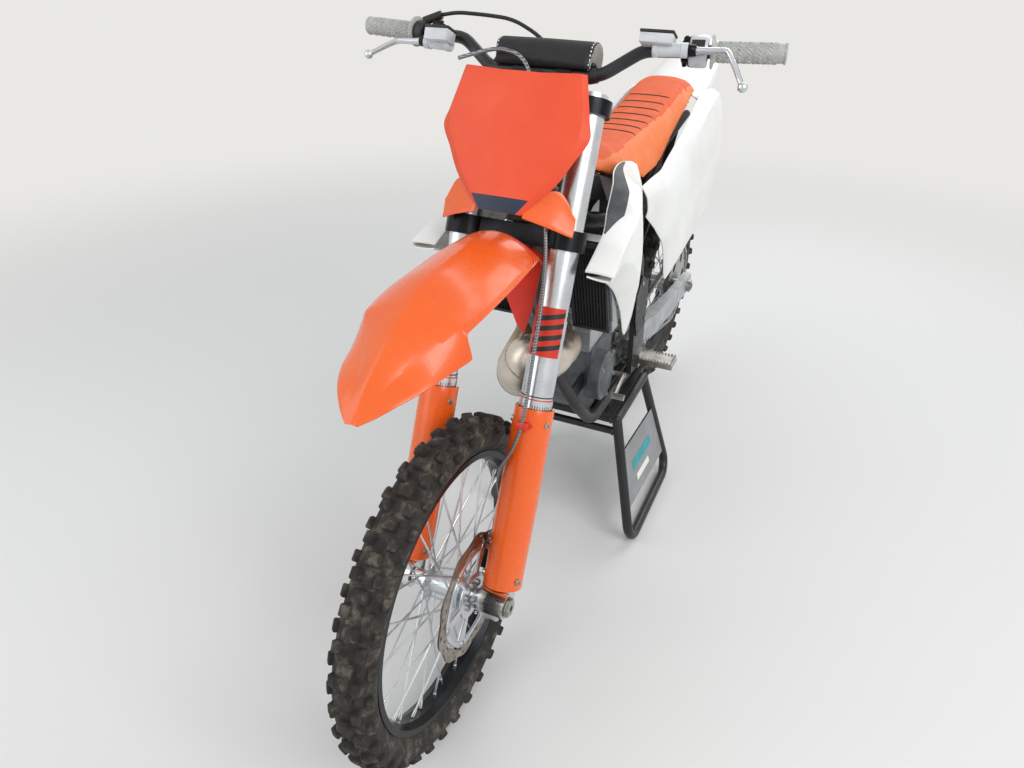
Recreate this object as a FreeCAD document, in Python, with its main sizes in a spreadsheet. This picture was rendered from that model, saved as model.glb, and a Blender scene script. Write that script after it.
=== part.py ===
import FreeCAD, Part
import math
import os

import Sketcher

# Off-road motorcycle on a paddock stand. Millimetres. +X forward, +Y left, +Z up, origin on the floor.
# The bike is drawn level, then tipped about its front axle by nose_down, which sets the front tyre on
# the floor and the frame on the stand. Fork pieces are drawn in a frame of their own: x ahead of the
# steering axis, z up along it.

doc = FreeCAD.newDocument("DirtBike")
V = FreeCAD.Vector
sheet = doc.addObject("Spreadsheet::Sheet", "Sizes")
sheet_rows = []
nodes = []
cords = []


class Size(float):
    """A number that keeps the sheet formula it came from, so that one sum serves shapes and formulas."""

    def __new__(cls, value, formula=None):
        number = float.__new__(cls, value)
        number.formula = formula or repr(float(value))
        return number

    def __add__(self, other):
        return Size(float(self) + float(other), f"({self.formula} + {formula_of(other)})")

    def __radd__(self, other):
        return Size(float(other) + float(self), f"({formula_of(other)} + {self.formula})")

    def __sub__(self, other):
        return Size(float(self) - float(other), f"({self.formula} - {formula_of(other)})")

    def __rsub__(self, other):
        return Size(float(other) - float(self), f"({formula_of(other)} - {self.formula})")

    def __mul__(self, other):
        return Size(float(self) * float(other), f"({self.formula} * {formula_of(other)})")

    def __rmul__(self, other):
        return Size(float(other) * float(self), f"({formula_of(other)} * {self.formula})")

    def __truediv__(self, other):
        return Size(float(self) / float(other), f"({self.formula} / {formula_of(other)})")

    def __neg__(self):
        return Size(-float(self), f"(-{self.formula})")


def formula_of(value):
    if isinstance(value, Size):
        return value.formula
    return repr(float(value))


def size(alias, value, note):
    """Adds a row to the sheet and returns its value."""
    row = len(sheet_rows) + 1
    sheet.set(f"A{row}", alias)
    sheet.set(f"B{row}", str(value))
    sheet.set(f"C{row}", note)
    sheet.setAlias(f"B{row}", alias)
    sheet_rows.append(alias)
    return Size(value, f"Sizes.{alias}")


def bind(obj, prop, value):
    if isinstance(value, Size):
        obj.setExpression(prop, value.formula)
    else:
        setattr(obj, prop, value) if "." not in prop else obj.setExpression(prop, repr(float(value)))


# Fits
running_gap = size("running_gap", 0.05, "radial gap between a bore and what it holds")
seat_gap = size("seat_gap", 0.3, "gap between pieces that lie against each other")

# Stance and steering
wheelbase = size("wheelbase", 1485, "front axle to rear axle")
front_axle_x = size("front_axle_x", 742.5, "front axle ahead of the middle of the drawing")
axle_height = size("axle_height", 346, "front axle above the foot of the drawing")
rear_axle_drop = size("rear_axle_drop", 6, "rear axle below the front one")
nose_down = size("nose_down", 2.72, "degrees that the stand tips the bike forward")
rake = size("rake", 26.1, "degrees from the steering axis to the vertical")
axle_lead = size("axle_lead", 57, "front axle ahead of the steering axis")
leg_lead = size("leg_lead", 22, "fork legs ahead of the steering axis")
leg_half_gap = size("leg_half_gap", 100, "fork leg centre to the middle plane")

# Front wheel
front_tyre_radius = size("front_tyre_radius", 346, "to the tips of the lugs")
front_tyre_half = size("front_tyre_half", 42, "half the tyre's width")
front_tyre_height = size("front_tyre_height", 78.5, "bead seat of the 21 inch rim to the tips of the lugs")
front_rim_half = size("front_rim_half", 25, "half the width of the front rim")
front_disc_radius = size("front_disc_radius", 130, "brake disc")
front_disc_across = size("front_disc_across", 54, "middle of the front disc from the middle plane")
front_axle_radius = size("front_axle_radius", 10, "front axle")
front_axle_bore = size("front_axle_bore", 6, "hole through the front axle, radius")
front_hub_half = size("front_hub_half", 70, "half the length of the front hub with its spacers")

# Rear wheel
rear_tyre_radius = size("rear_tyre_radius", 340, "to the tips of the lugs")
rear_tyre_half = size("rear_tyre_half", 51, "half the tyre's width")
rear_tyre_height = size("rear_tyre_height", 98.5, "bead seat of the 19 inch rim to the tips of the lugs")
rear_rim_half = size("rear_rim_half", 30, "half the width of the rear rim")
rear_disc_radius = size("rear_disc_radius", 110, "brake disc")
rear_disc_across = size("rear_disc_across", 62, "middle of the rear disc from the middle plane")
rear_axle_radius = size("rear_axle_radius", 12.5, "rear axle")
rear_axle_bore = size("rear_axle_bore", 8, "hole through the rear axle, radius")
rear_hub_half = size("rear_hub_half", 78, "half the length of the rear hub with its spacers")
disc_thickness = size("disc_thickness", 3.5, "both brake discs")
rim_wall = size("rim_wall", 3, "sheet of both rims")
bead_fit = size("bead_fit", 0.3, "gap between tyre bead and rim")
lug_height = size("lug_height", 13, "tread lugs")
lug_length = size("lug_length", 30, "tread lugs, round the tyre")
spoke_radius = size("spoke_radius", 2, "spokes")
spoke_count = 36
tread_steps = 24

# Drive
sprocket_radius = size("sprocket_radius", 126, "pitch radius of the rear sprocket")
drive_radius = size("drive_radius", 33, "pitch radius of the countershaft sprocket")
chain_across = size("chain_across", 66.5, "middle of the chain from the middle plane")
chain_half_width = size("chain_half_width", 8, "half the width of the chain")
chain_half_height = size("chain_half_height", 8, "half the height of a chain link")
chain_pitch = size("chain_pitch", 15.875, "length of one link")
chain_slot = size("chain_slot", 9, "room between the chain's side plates")
sprocket_thickness = size("sprocket_thickness", 6, "both sprockets")
sprocket_teeth = 50

# Fork and bars, heights along the steering axis from the foot of the axle's square
guard_low = size("guard_low", 26, "foot of the fork guards")
guard_top = size("guard_top", 379, "top of the fork guards")
fork_top = size("fork_top", 939, "top of the fork legs")
outer_tube_radius = size("outer_tube_radius", 28.5, "outer fork tube")
inner_tube_radius = size("inner_tube_radius", 24, "inner fork tube")
lower_clamp_low = size("lower_clamp_low", 668, "underside of the lower clamp")
lower_clamp_height = size("lower_clamp_height", 36, "lower clamp")
top_clamp_low = size("top_clamp_low", 903, "underside of the top clamp")
top_clamp_height = size("top_clamp_height", 27, "top clamp")
stem_radius = size("stem_radius", 15, "steering stem")
head_tube_radius = size("head_tube_radius", 29, "head tube")
bar_radius = size("bar_radius", 11, "handlebar at the grips")
bar_middle_radius = size("bar_middle_radius", 14.3, "handlebar at its clamps")
bar_stand = size("bar_stand", 42, "handlebar at its clamps, above the top clamp")
bar_lead = size("bar_lead", 14, "handlebar at its clamps, ahead of the steering axis")
bar_half = size("bar_half", 403, "half the width over the grips")
bar_rise = size("bar_rise", 69, "grip ends above the clamps")
bar_sweep = size("bar_sweep", 36.5, "grip ends behind the clamps")
grip_length = size("grip_length", 121, "grips")

# Plastics and frame
skin_wall = size("skin_wall", 3.5, "moulded plastic skins")
down_tube_radius = size("down_tube_radius", 19, "down tube")
spar_radius = size("spar_radius", 17, "top spars")
cradle_radius = size("cradle_radius", 14, "cradle tubes")
cradle_half = size("cradle_half", 80, "cradle tube from the middle plane")
radiator_inner = size("radiator_inner", 60, "inner side of the radiators from the middle plane")
radiator_outer = size("radiator_outer", 145, "outer side of the radiators from the middle plane")
radiator_low = size("radiator_low", 672, "foot of the radiators")
radiator_top = size("radiator_top", 900, "top of the radiators")
radiator_front = size("radiator_front", 224.7, "front of the radiators at their foot")
radiator_depth = size("radiator_depth", 34, "radiator tanks, front to rear")
plate_inner = size("plate_inner", 92, "inner face of the pivot plates")
plate_thickness = size("plate_thickness", 14, "pivot plates")
pivot_x = size("pivot_x", -165, "swingarm pivot")
pivot_z = size("pivot_z", 418, "swingarm pivot")
drive_x = size("drive_x", -92, "countershaft")
drive_z = size("drive_z", 430, "countershaft")
peg_reach = size("peg_reach", 92, "length of a footpeg")

# Paddock stand, in the floor's frame
stand_lift = size("stand_lift", 30, "top of the tray above the front axle")
stand_tube_radius = size("stand_tube_radius", 13, "stand tube")
stand_top_front = size("stand_top_front", 55, "front end of the top rail")
stand_top_rear = size("stand_top_rear", -185, "rear end of the top rail")
stand_top_half = size("stand_top_half", 124, "top rail from the middle plane")
stand_foot_front = size("stand_foot_front", 115, "front foot")
stand_foot_rear = size("stand_foot_rear", -269, "rear foot")
stand_foot_half = size("stand_foot_half", 206, "foot from the middle plane")
tray_thickness = size("tray_thickness", 8, "top tray")
stand_bend = size("stand_bend", 45, "bend radius of the stand's lower corners")

front_seat_radius = front_tyre_radius - front_tyre_height
rear_seat_radius = rear_tyre_radius - rear_tyre_height
bar_height = top_clamp_low + top_clamp_height + bar_stand
stand_top = front_tyre_radius + stand_lift

front_axle = (front_axle_x, 0, axle_height)
rear_axle = (front_axle_x - wheelbase, 0, axle_height - rear_axle_drop)

turn_y = V(0, 1, 0)
ground = FreeCAD.Placement()
stance = FreeCAD.Placement(V(0, 0, float(front_tyre_radius - axle_height)),
                           FreeCAD.Rotation(turn_y, float(nose_down)), V(*front_axle))
rake_cos = math.cos(math.radians(rake))
rake_sin = math.sin(math.radians(rake))
steer_foot = V(front_axle[0] - axle_lead * rake_cos, 0, front_axle[2] - axle_lead * rake_sin)
fork_frame = stance * FreeCAD.Placement(steer_foot, FreeCAD.Rotation(turn_y, -float(rake)))
front_wheel_frame = stance * FreeCAD.Placement(V(*front_axle), FreeCAD.Rotation())
rear_wheel_frame = stance * FreeCAD.Placement(V(*rear_axle), FreeCAD.Rotation())


def on_stand(x, height):
    """Height in the bike's frame of a point at x that is `height` above the tray."""
    tip = math.radians(nose_down)
    drop = stand_top + height - front_tyre_radius + math.sin(tip) * (x - front_axle[0])
    return float(axle_height + drop / math.cos(tip))


def steer_point(lead, across, along):
    """A point of the fork's frame, in the bike's frame."""
    return (
        steer_foot.x + lead * rake_cos - along * rake_sin,
        across,
        steer_foot.z + lead * rake_sin + along * rake_cos,
    )


def to_fork(x, y, z):
    """A point of the bike's frame, in the fork's frame."""
    dx = x - steer_foot.x
    dz = z - steer_foot.z
    return (dx * rake_cos + dz * rake_sin, y, dz * rake_cos - dx * rake_sin)


# Drawing helpers

def put(obj, at, rotation=None):
    obj.Placement = FreeCAD.Placement(V(0, 0, 0), rotation or FreeCAD.Rotation())
    for axis, value in zip("xyz", at):
        obj.setExpression("Placement.Base." + axis, formula_of(value))
    return obj


def box(name, low, high):
    obj = doc.addObject("Part::Box", name)
    for prop, a, b in zip(("Length", "Width", "Height"), low, high):
        obj.setExpression(prop, formula_of(Size(b, formula_of(b)) - a))
    return put(obj, low)


def cylinder(name, radius, length, at, towards=(0, 0, 1)):
    obj = doc.addObject("Part::Cylinder", name)
    bind(obj, "Radius", radius)
    bind(obj, "Height", length)
    return put(obj, at, FreeCAD.Rotation(V(0, 0, 1), V(*towards)))


def cone(name, radius, end_radius, length, at, towards=(0, 0, 1)):
    obj = doc.addObject("Part::Cone", name)
    bind(obj, "Radius1", radius)
    bind(obj, "Radius2", end_radius)
    bind(obj, "Height", length)
    return put(obj, at, FreeCAD.Rotation(V(0, 0, 1), V(*towards)))


def ball(name, radius, at):
    obj = doc.addObject("Part::Sphere", name)
    bind(obj, "Radius", radius)
    return put(obj, at)


def rod(name, radius, start, end):
    run = V(*end) - V(*start)
    return cylinder(name, radius, run.Length, start, tuple(run))


def taper(name, radius, end_radius, start, end):
    run = V(*end) - V(*start)
    return cone(name, radius, end_radius, run.Length, start, tuple(run))


def fuse(name, parts):
    obj = doc.addObject("Part::MultiFuse", name)
    obj.Shapes = parts
    return obj


def cut(name, base, tool):
    obj = doc.addObject("Part::Cut", name)
    obj.Base = base
    obj.Tool = tool
    return obj


def group(name, parts):
    obj = doc.addObject("Part::Compound", name)
    obj.Links = parts
    return obj


def mirrored(part):
    obj = doc.addObject("Part::Mirroring", part.Name + "_right")
    obj.Source = part
    obj.Normal = turn_y
    return obj


def both(name, part):
    return group(name, [part, mirrored(part)])


def loft(name, rings):
    """Straight-sided solid through flat closed rings that have the same number of corners."""
    sections = []
    for ring in rings:
        section = doc.addObject("Part::Polygon", name + "_ring")
        section.Nodes = [V(*point) for point in ring]
        section.Close = True
        sections.append(section)
    obj = doc.addObject("Part::Loft", name)
    obj.Sections = sections
    obj.Solid = True
    obj.Ruled = True
    return obj


def wall_outline(line, wall):
    """Closes an open line of 2-D points into a wall on its right-hand side."""
    inner = []
    for i, (a, b) in enumerate(line):
        before = line[max(i - 1, 0)]
        after = line[min(i + 1, len(line) - 1)]
        normals = []
        for start, end in ((before, (a, b)), ((a, b), after)):
            length = math.hypot(end[0] - start[0], end[1] - start[1])
            if length > 0:
                normals.append(((end[1] - start[1]) / length, (start[0] - end[0]) / length))
        sum_a = sum(n[0] for n in normals)
        sum_b = sum(n[1] for n in normals)
        scale = wall * len(normals) / (sum_a * sum_a + sum_b * sum_b)
        inner.append((a + sum_a * scale, b + sum_b * scale))
    return list(line) + inner[::-1]


def bent_route(route, bend=None):
    """Straight runs joined by tangent arcs, each as large as its runs allow or of radius `bend`."""
    points = [V(*point) for point in route]
    edges = []
    last = points[0]
    for i in range(1, len(points) - 1):
        corner = points[i]
        back = points[i - 1] - corner
        ahead = points[i + 1] - corner
        turn = math.pi - back.getAngle(ahead)
        reach = 0.45 * min(back.Length, ahead.Length)
        if bend:
            reach = min(reach, bend * math.tan(turn / 2))
        radius = reach / math.tan(turn / 2)
        back.normalize()
        ahead.normalize()
        start = corner + back * reach
        end = corner + ahead * reach
        inward = (back + ahead).normalize()
        middle = corner + inward * (math.hypot(radius, reach) - radius)
        edges.append(Part.LineSegment(last, start).toShape())
        edges.append(Part.Arc(start, middle, end).toShape())
        last = end
    edges.append(Part.LineSegment(last, points[-1]).toShape())
    return Part.Wire(edges)


def tube(name, radius, route, bend=None):
    wire = bent_route(route, bend)
    path = doc.addObject("Part::Feature", name + "_path")
    path.Shape = wire
    ring = doc.addObject("Part::Circle", name + "_circle")
    bind(ring, "Radius", radius)
    start = V(*route[0])
    ring.Placement = FreeCAD.Placement(start, FreeCAD.Rotation(V(0, 0, 1), V(*route[1]) - start))
    obj = doc.addObject("Part::Sweep", name)
    obj.Sections = [ring]
    obj.Sections = [ring]
    obj.Spine = (path, [f"Edge{i + 1}" for i in range(len(wire.Edges))])
    obj.Solid = True
    obj.Frenet = False
    return obj


def cord(name, radius, route):
    """Tube that is a cord; its bends, length and volume are printed at the end."""
    obj = tube(name, radius, route)
    cords.append((obj, float(radius)))
    return obj


def sketch_on(body, role, outline, holes=()):
    """Sketch of closed outlines, each corner held by two bound constraints. An arc's corner has a third
    entry: a point that the arc passes through on its way to the next corner."""
    sketch = body.newObject("Sketcher::SketchObject", body.Name + "_sketch")
    plane = next(f for f in body.Origin.OriginFeatures if f.Role == role)
    sketch.AttachmentSupport = (plane, [""])
    sketch.MapMode = "FlatFace"
    for loop in [outline, *holes]:
        first = sketch.GeometryCount
        count = len(loop)
        heads = []
        for i, corner in enumerate(loop):
            here = V(corner[0], corner[1], 0)
            after = V(loop[(i + 1) % count][0], loop[(i + 1) % count][1], 0)
            if len(corner) > 2:
                # The sketcher keeps arcs anticlockwise
                through = V(corner[2][0], corner[2][1], 0)
                clockwise = (through - here).cross(after - here).z < 0
                ends = (after, here) if clockwise else (here, after)
                edge = Part.Arc(ends[0], through, ends[1])
            else:
                edge = Part.LineSegment(here, after)
            sketch.addGeometry(edge, False)
            drawn = sketch.Geometry[first + i]
            heads.append(1 if (drawn.StartPoint - here).Length < 1e-6 else 2)
        for i in range(count):
            j = (i + 1) % count
            joint = Sketcher.Constraint("Coincident", first + i, 3 - heads[i], first + j, heads[j])
            sketch.addConstraint(joint)
        for i, corner in enumerate(loop):
            for kind, value in zip(("DistanceX", "DistanceY"), corner):
                index = sketch.addConstraint(
                    Sketcher.Constraint(kind, -1, 1, first + i, heads[i], float(value))
                )
                if isinstance(value, Size):
                    sketch.setExpression(f"Constraints[{index}]", value.formula)
    return sketch


def turned(name, outline):
    """Body turned about Y from an outline of (across, radius) corners."""
    body = doc.addObject("PartDesign::Body", name)
    sketch = sketch_on(body, "YZ_Plane", outline)
    ring = body.newObject("PartDesign::Revolution", name + "_turn")
    ring.Profile = sketch
    ring.ReferenceAxis = (sketch, ["H_Axis"])
    ring.Angle = 360
    return body


def node(obj, label, frame=ground):
    obj.Label = label
    obj.Placement = frame
    nodes.append(obj)
    return obj


# Wheels

def round_axle(across, radius, angle):
    """Point at `angle` degrees round a wheel's axle."""
    turn = math.radians(angle)
    return (float(radius) * math.cos(turn), float(across), float(radius) * math.sin(turn))


def tread_lug(name, inner, outer, low, high, angle):
    """Lug between two distances from the middle plane and two radii."""
    lug = doc.addObject("Part::Box", name)
    bind(lug, "Length", lug_length)
    bind(lug, "Width", outer - inner)
    bind(lug, "Height", high - low)
    corner = FreeCAD.Placement(V(-float(lug_length) / 2, float(inner), float(low)), FreeCAD.Rotation())
    lug.Placement = FreeCAD.Placement(V(0, 0, 0), FreeCAD.Rotation(turn_y, 90.0 - angle)) * corner
    return lug


def tyre(name, radius, half, bead, bead_half):
    """Carcass of flat facets with its lugs: one in the middle and two at the sides, then two between them."""
    step = 360.0 / tread_steps
    flat = math.cos(math.radians(step / 2))
    crown = radius - lug_height
    section = [
        (bead_half, (bead + bead_fit) / flat),
        (bead_half, (bead + 9 + bead_fit) / flat),
        (half * 0.9, bead + (radius - bead) * 0.45),
        (half * 0.74, crown - 11),
        (half * 0.32, crown),
    ]
    section = section + [(-across, height) for across, height in section[::-1]]
    first = -90.0 - step / 2 + float(nose_down)
    parts = []
    for half_turn in (0, 1):
        start = half_turn * tread_steps // 2
        stops = range(start, start + tread_steps // 2 + 1)
        parts.append(loft(name, [
            [round_axle(across, height, first + stop * step) for across, height in section] for stop in stops
        ]))
    tip = math.sqrt(radius * radius - lug_length * lug_length / 4)
    base = crown - 8
    for i in range(tread_steps):
        angle = first + (i + 0.5) * step
        if i % 2:
            for side in (1, -1):
                ends = sorted((side * half * 0.2, side * half * 0.66))
                parts.append(tread_lug(name + "_lug", ends[0], ends[1], base - 3, tip - 3, angle))
            continue
        parts.append(tread_lug(name + "_lug", -half * 0.3, half * 0.3, base, tip, angle))
        for side in (1, -1):
            ends = sorted((side * half * 0.7, side * half))
            parts.append(tread_lug(name + "_lug", ends[0], ends[1], crown - 30, tip - 10, angle))
    return fuse(name + "_solid", parts)


def rim(name, half, bead):
    """Drop-centre rim: flanges outside the beads, seats, and a well."""
    flange = bead + 9
    well = bead - 8
    return turned(name, [
        (-half, flange),
        (-half, bead - rim_wall),
        (-half * 0.45, well - rim_wall),
        (half * 0.45, well - rim_wall),
        (half, bead - rim_wall),
        (half, flange),
        (half - rim_wall, flange),
        (half - rim_wall, bead),
        (half * 0.55, bead),
        (half * 0.4, well),
        (-half * 0.4, well),
        (-half * 0.55, bead),
        (-half + rim_wall, bead),
        (-half + rim_wall, flange),
    ])


def spoked_hub(name, barrel, flange, flange_across, half, bore, rim_inner):
    """Hub turned from bar, with its spokes. They cross, two by two, from each flange to the rim."""
    width = 6
    hub = turned(name + "_barrel", [
        (-half, bore),
        (half, bore),
        (half, bore + 5),
        (flange_across + width, bore + 7),
        (flange_across + width, flange),
        (flange_across, flange),
        (flange_across - width, barrel),
        (-flange_across + width, barrel),
        (-flange_across, flange),
        (-flange_across - width, flange),
        (-flange_across - width, bore + 7),
        (-half, bore + 5),
    ])
    parts = [hub]
    step = 2 * math.pi / spoke_count
    lean = math.radians(62)
    hold = float(flange) - 5
    reach = float(rim_inner) - 0.9
    for i in range(spoke_count):
        side = 1 if i % 2 else -1
        trail = 1 if i % 4 < 2 else -1
        outer = i * step
        inner = outer + trail * lean
        start = (hold * math.cos(inner), side * float(flange_across), hold * math.sin(inner))
        end = (reach * math.cos(outer), side * 3.0, reach * math.sin(outer))
        neck = tuple(a + (b - a) * 0.94 for a, b in zip(start, end))
        parts.append(rod(name + "_spoke", spoke_radius, start, end))
        parts.append(rod(name + "_nipple", spoke_radius * 1.6, neck, end))
    return fuse(name, parts)




front_rim_inner = front_seat_radius - 8 - rim_wall
rear_rim_inner = rear_seat_radius - 8 - rim_wall
front_flange_across = 33
rear_flange_across = 34

node(tyre("tyre_front", front_tyre_radius, front_tyre_half, front_seat_radius,
          front_rim_half - rim_wall - bead_fit), "front_tyre", front_wheel_frame)
node(rim("rim_front", front_rim_half, front_seat_radius), "front_rim", front_wheel_frame)
node(spoked_hub("hub_front", 20, 34, front_flange_across, front_hub_half,
                front_axle_radius + running_gap, front_rim_inner), "front_hub", front_wheel_frame)
node(tyre("tyre_rear", rear_tyre_radius, rear_tyre_half, rear_seat_radius,
          rear_rim_half - rim_wall - bead_fit), "rear_tyre", rear_wheel_frame)
node(rim("rim_rear", rear_rim_half, rear_seat_radius), "rear_rim", rear_wheel_frame)
node(spoked_hub("hub_rear", 27, 42, rear_flange_across, rear_hub_half,
                rear_axle_radius + running_gap, rear_rim_inner), "rear_hub", rear_wheel_frame)


def disc_with_carrier(name, across, radius, flange, flange_face, bore):
    """Disc on a thin carrier that reaches in to the hub's flange."""
    half = disc_thickness / 2
    face = flange_face + seat_gap
    return turned(name, [
        (across - half, radius),
        (across + half, radius),
        (across + half, bore),
        (face, bore),
        (face, flange),
        (across - half, flange),
    ])


node(disc_with_carrier("disc_front", front_disc_across, front_disc_radius, 34,
                       front_flange_across + 6, front_axle_radius + 9), "front_disc", front_wheel_frame)
rear_disc_body = disc_with_carrier("disc_rear", rear_disc_across, rear_disc_radius, 42,
                                   rear_flange_across + 6, rear_axle_radius + 9)
rear_disc_frame = rear_wheel_frame * FreeCAD.Placement(V(0, 0, 0), FreeCAD.Rotation(V(0, 0, 1), 180))
node(rear_disc_body, "rear_disc", rear_disc_frame)

sprocket_half = sprocket_thickness / 2
tooth_root = sprocket_radius - 5
tooth_tip = sprocket_radius + 4
tooth_turn = 360.0 / sprocket_teeth
tooth_shape = ((-0.3, tooth_root), (-0.12, tooth_tip), (0.12, tooth_tip), (0.3, tooth_root))
tooth_corners = [(radius, (i + share) * tooth_turn) for i in range(sprocket_teeth) for share, radius in tooth_shape]
sprocket_blank = turned("sprocket", [
    (chain_across - sprocket_half, sprocket_radius - 8),
    (chain_across + sprocket_half, sprocket_radius - 8),
    (chain_across + sprocket_half, rear_axle_radius + 9),
    (rear_flange_across + 6 + seat_gap, rear_axle_radius + 9),
    (rear_flange_across + 6 + seat_gap, 44),
    (chain_across - sprocket_half, 44),
])
sprocket_ring = loft("sprocket_teeth", [
    [round_axle(across, radius, angle) for radius, angle in tooth_corners]
    for across in (chain_across - sprocket_half, chain_across + sprocket_half)
])
sprocket_bore = cylinder("sprocket_ring_bore", sprocket_radius - 14, sprocket_thickness * 2,
                         (0, chain_across - sprocket_thickness, 0), (0, 1, 0))
sprocket_holes = []
for i in range(6):
    x, y, z = round_axle(chain_across - sprocket_thickness, 88, i * 60)
    sprocket_holes.append(cylinder("sprocket_hole", 17, sprocket_thickness * 2, (x, y, z), (0, 1, 0)))
sprocket_solid = fuse("sprocket_solid", [sprocket_blank, cut("sprocket_crown", sprocket_ring, sprocket_bore)])
node(cut("sprocket_cut", sprocket_solid, fuse("sprocket_holes", sprocket_holes)), "rear_sprocket",
     rear_wheel_frame)

# Fork, in the fork's frame

tube_foot = guard_top + 16
leg = (leg_lead, leg_half_gap)

outer_tube = fuse("outer_tube", [
    cylinder("outer_main", outer_tube_radius, fork_top - tube_foot, (*leg, tube_foot)),
    cylinder("outer_swell", outer_tube_radius + 1.5, 150, (*leg, tube_foot)),
    cylinder("seal_ring", outer_tube_radius + 3, 16, (*leg, guard_top)),
])
outer_bore = cylinder("outer_bore", inner_tube_radius + running_gap, 90, (*leg, guard_top))
node(both("fork_tubes", cut("outer_leg", outer_tube, outer_bore)), "fork_tubes", fork_frame)

lug_inner = front_hub_half + 2
lug_width = 2 * (leg_half_gap - lug_inner)
guard_inner = 34
lug_eye_radius = 25
lug = fuse("axle_lug", [
    cylinder("inner_tube", inner_tube_radius, guard_top + 70, (*leg, 5)),
    cylinder("lug_eye", lug_eye_radius, lug_width, (axle_lead, lug_inner, 0), (0, 1, 0)),
    box("lug_web", (leg_lead - 20, lug_inner + 6, -14), (axle_lead + 6, lug_inner + lug_width - 6, 24)),
    cylinder("lug_collar", guard_inner - seat_gap, 38, (*leg, guard_low)),
])
lug_bore = cylinder("lug_bore", front_axle_radius + running_gap, 80, (axle_lead, leg_half_gap - 40, 0), (0, 1, 0))
node(both("fork_lowers", cut("lower_leg", lug, lug_bore)), "fork_lowers", fork_frame)


def guard_ring(along, radius, forward, open_half):
    """C-shaped section of a fork guard about the left leg; the open side faces the rear."""
    line = []
    steps = 8
    step = math.radians(open_half * 2 / steps)
    corner = radius / math.cos(step / 2)
    for i in range(steps + 1):
        angle = (i - steps / 2) * step
        lead = leg_lead + corner * math.cos(angle) + forward * max(math.cos(angle), 0)
        line.append((lead, leg_half_gap + corner * math.sin(angle)))
    return [(a, b, along) for a, b in wall_outline(line, -float(skin_wall))]


guard_sections = (
    # along, radius, forward, open_half
    (guard_low, guard_inner + skin_wall, 4, 118),
    (guard_low + 38, guard_inner + skin_wall, 2, 118),
    (guard_low + 150, 38, 0, 112),
    (guard_top, 37, 0, 108),
)
guard = loft("guard", [guard_ring(*row) for row in guard_sections])
node(both("fork_guards", guard), "fork_guards", fork_frame)


def clamp(name, low, height, rear, front):
    """Clamp that holds both legs: a web with two round ends, bored for the legs."""
    end_radius = outer_tube_radius + 9
    web = box(name + "_web", (-rear, -leg_half_gap, low), (leg_lead + front, leg_half_gap, low + height))
    parts = [web]
    bores = []
    for side in (1, -1):
        at = (leg_lead, side * leg_half_gap, low)
        parts.append(cylinder(name + "_end", end_radius, height, at))
        bores.append(cylinder(name + "_bore", outer_tube_radius + running_gap, height + 2, (at[0], at[1], low - 1)))
    return parts, fuse(name + "_bores", bores)


lower_parts, lower_bores = clamp("lower_clamp", lower_clamp_low, lower_clamp_height, 20, 14)
lower_parts.append(cylinder("stem", stem_radius, top_clamp_low + top_clamp_height - lower_clamp_low - 4,
                            (0, 0, lower_clamp_low)))
lower_body = cut("lower_clamp_cut", fuse("lower_clamp_solid", lower_parts), lower_bores)
node(lower_body, "lower_clamp", fork_frame)

top_parts, top_bores = clamp("top_clamp", top_clamp_low, top_clamp_height, 20, 12)
mount_across = 42
mount_top = bar_height + bar_middle_radius + 8
for side in (1, -1):
    low = (bar_lead - 17, side * mount_across - 14, top_clamp_low + top_clamp_height)
    high = (bar_lead + 17, side * mount_across + 14, mount_top)
    top_parts.append(box("bar_mount", low, high))
stem_bore = cylinder("stem_bore", stem_radius + running_gap, top_clamp_height - 3, (0, 0, top_clamp_low - 1))
bar_bore = cylinder("bar_bore", bar_middle_radius + running_gap, 160, (bar_lead, -80, bar_height), (0, 1, 0))
top_tools = fuse("top_clamp_tools", [top_bores, stem_bore, bar_bore])
node(cut("top_clamp_cut", fuse("top_clamp_solid", top_parts), top_tools), "top_clamp", fork_frame)

axle_reach = leg_half_gap + 28
axle_bar = cylinder("front_axle_bar", front_axle_radius, axle_reach * 2, (axle_lead, -axle_reach, 0), (0, 1, 0))
axle_hole = cylinder("front_axle_hole", front_axle_bore, axle_reach * 2 + 24, (axle_lead, -axle_reach - 12, 0),
                     (0, 1, 0))
node(cut("front_axle_cut", axle_bar, axle_hole), "front_axle", fork_frame)

# Handlebar route, left half: lead, across, along
bar_route = [
    (bar_lead, 0, bar_height),
    (bar_lead, 104, bar_height),
    (bar_lead - 8, 172, bar_height + bar_rise - 18),
    (bar_lead - bar_sweep, bar_half - 4, bar_height + bar_rise),
]
full_route = [(a, -b, c) for a, b, c in bar_route[:0:-1]] + bar_route[1:]
bar_parts = [
    tube("bar_tube", bar_radius, full_route, 60),
    cylinder("bar_middle", bar_middle_radius, 176, (bar_lead, -88, bar_height), (0, 1, 0)),
]
for side in (1, -1):
    bar_parts.append(cone("bar_taper", bar_middle_radius, bar_radius, 14,
                          (bar_lead, side * 88, bar_height), (0, side, 0)))
node(fuse("bar", bar_parts), "handlebar", fork_frame)


def along_bar(across):
    """Point on the outer run of the bar, and its direction."""
    start = V(*bar_route[2])
    end = V(*bar_route[3])
    share = (across - start.y) / (end.y - start.y)
    return start + (end - start) * share, (end - start).normalize()


grip_foot = float(bar_half - grip_length)
grip_start, bar_way = along_bar(grip_foot)
grip_end, _ = along_bar(float(bar_half))
grip = fuse("grip_solid", [
    rod("grip_main", bar_radius + 5.5, tuple(grip_start), tuple(grip_end)),
    cylinder("grip_flange", 27, 4, tuple(grip_start), tuple(bar_way)),
])
grip_bore_start = grip_start - bar_way * 5
grip_bore_end = V(*bar_route[3]) + bar_way * float(seat_gap)
grip_bore = rod("grip_bore", bar_radius + running_gap, tuple(grip_bore_start), tuple(grip_bore_end))
node(both("grip_pair", cut("grip", grip, grip_bore)), "grips", fork_frame)

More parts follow.
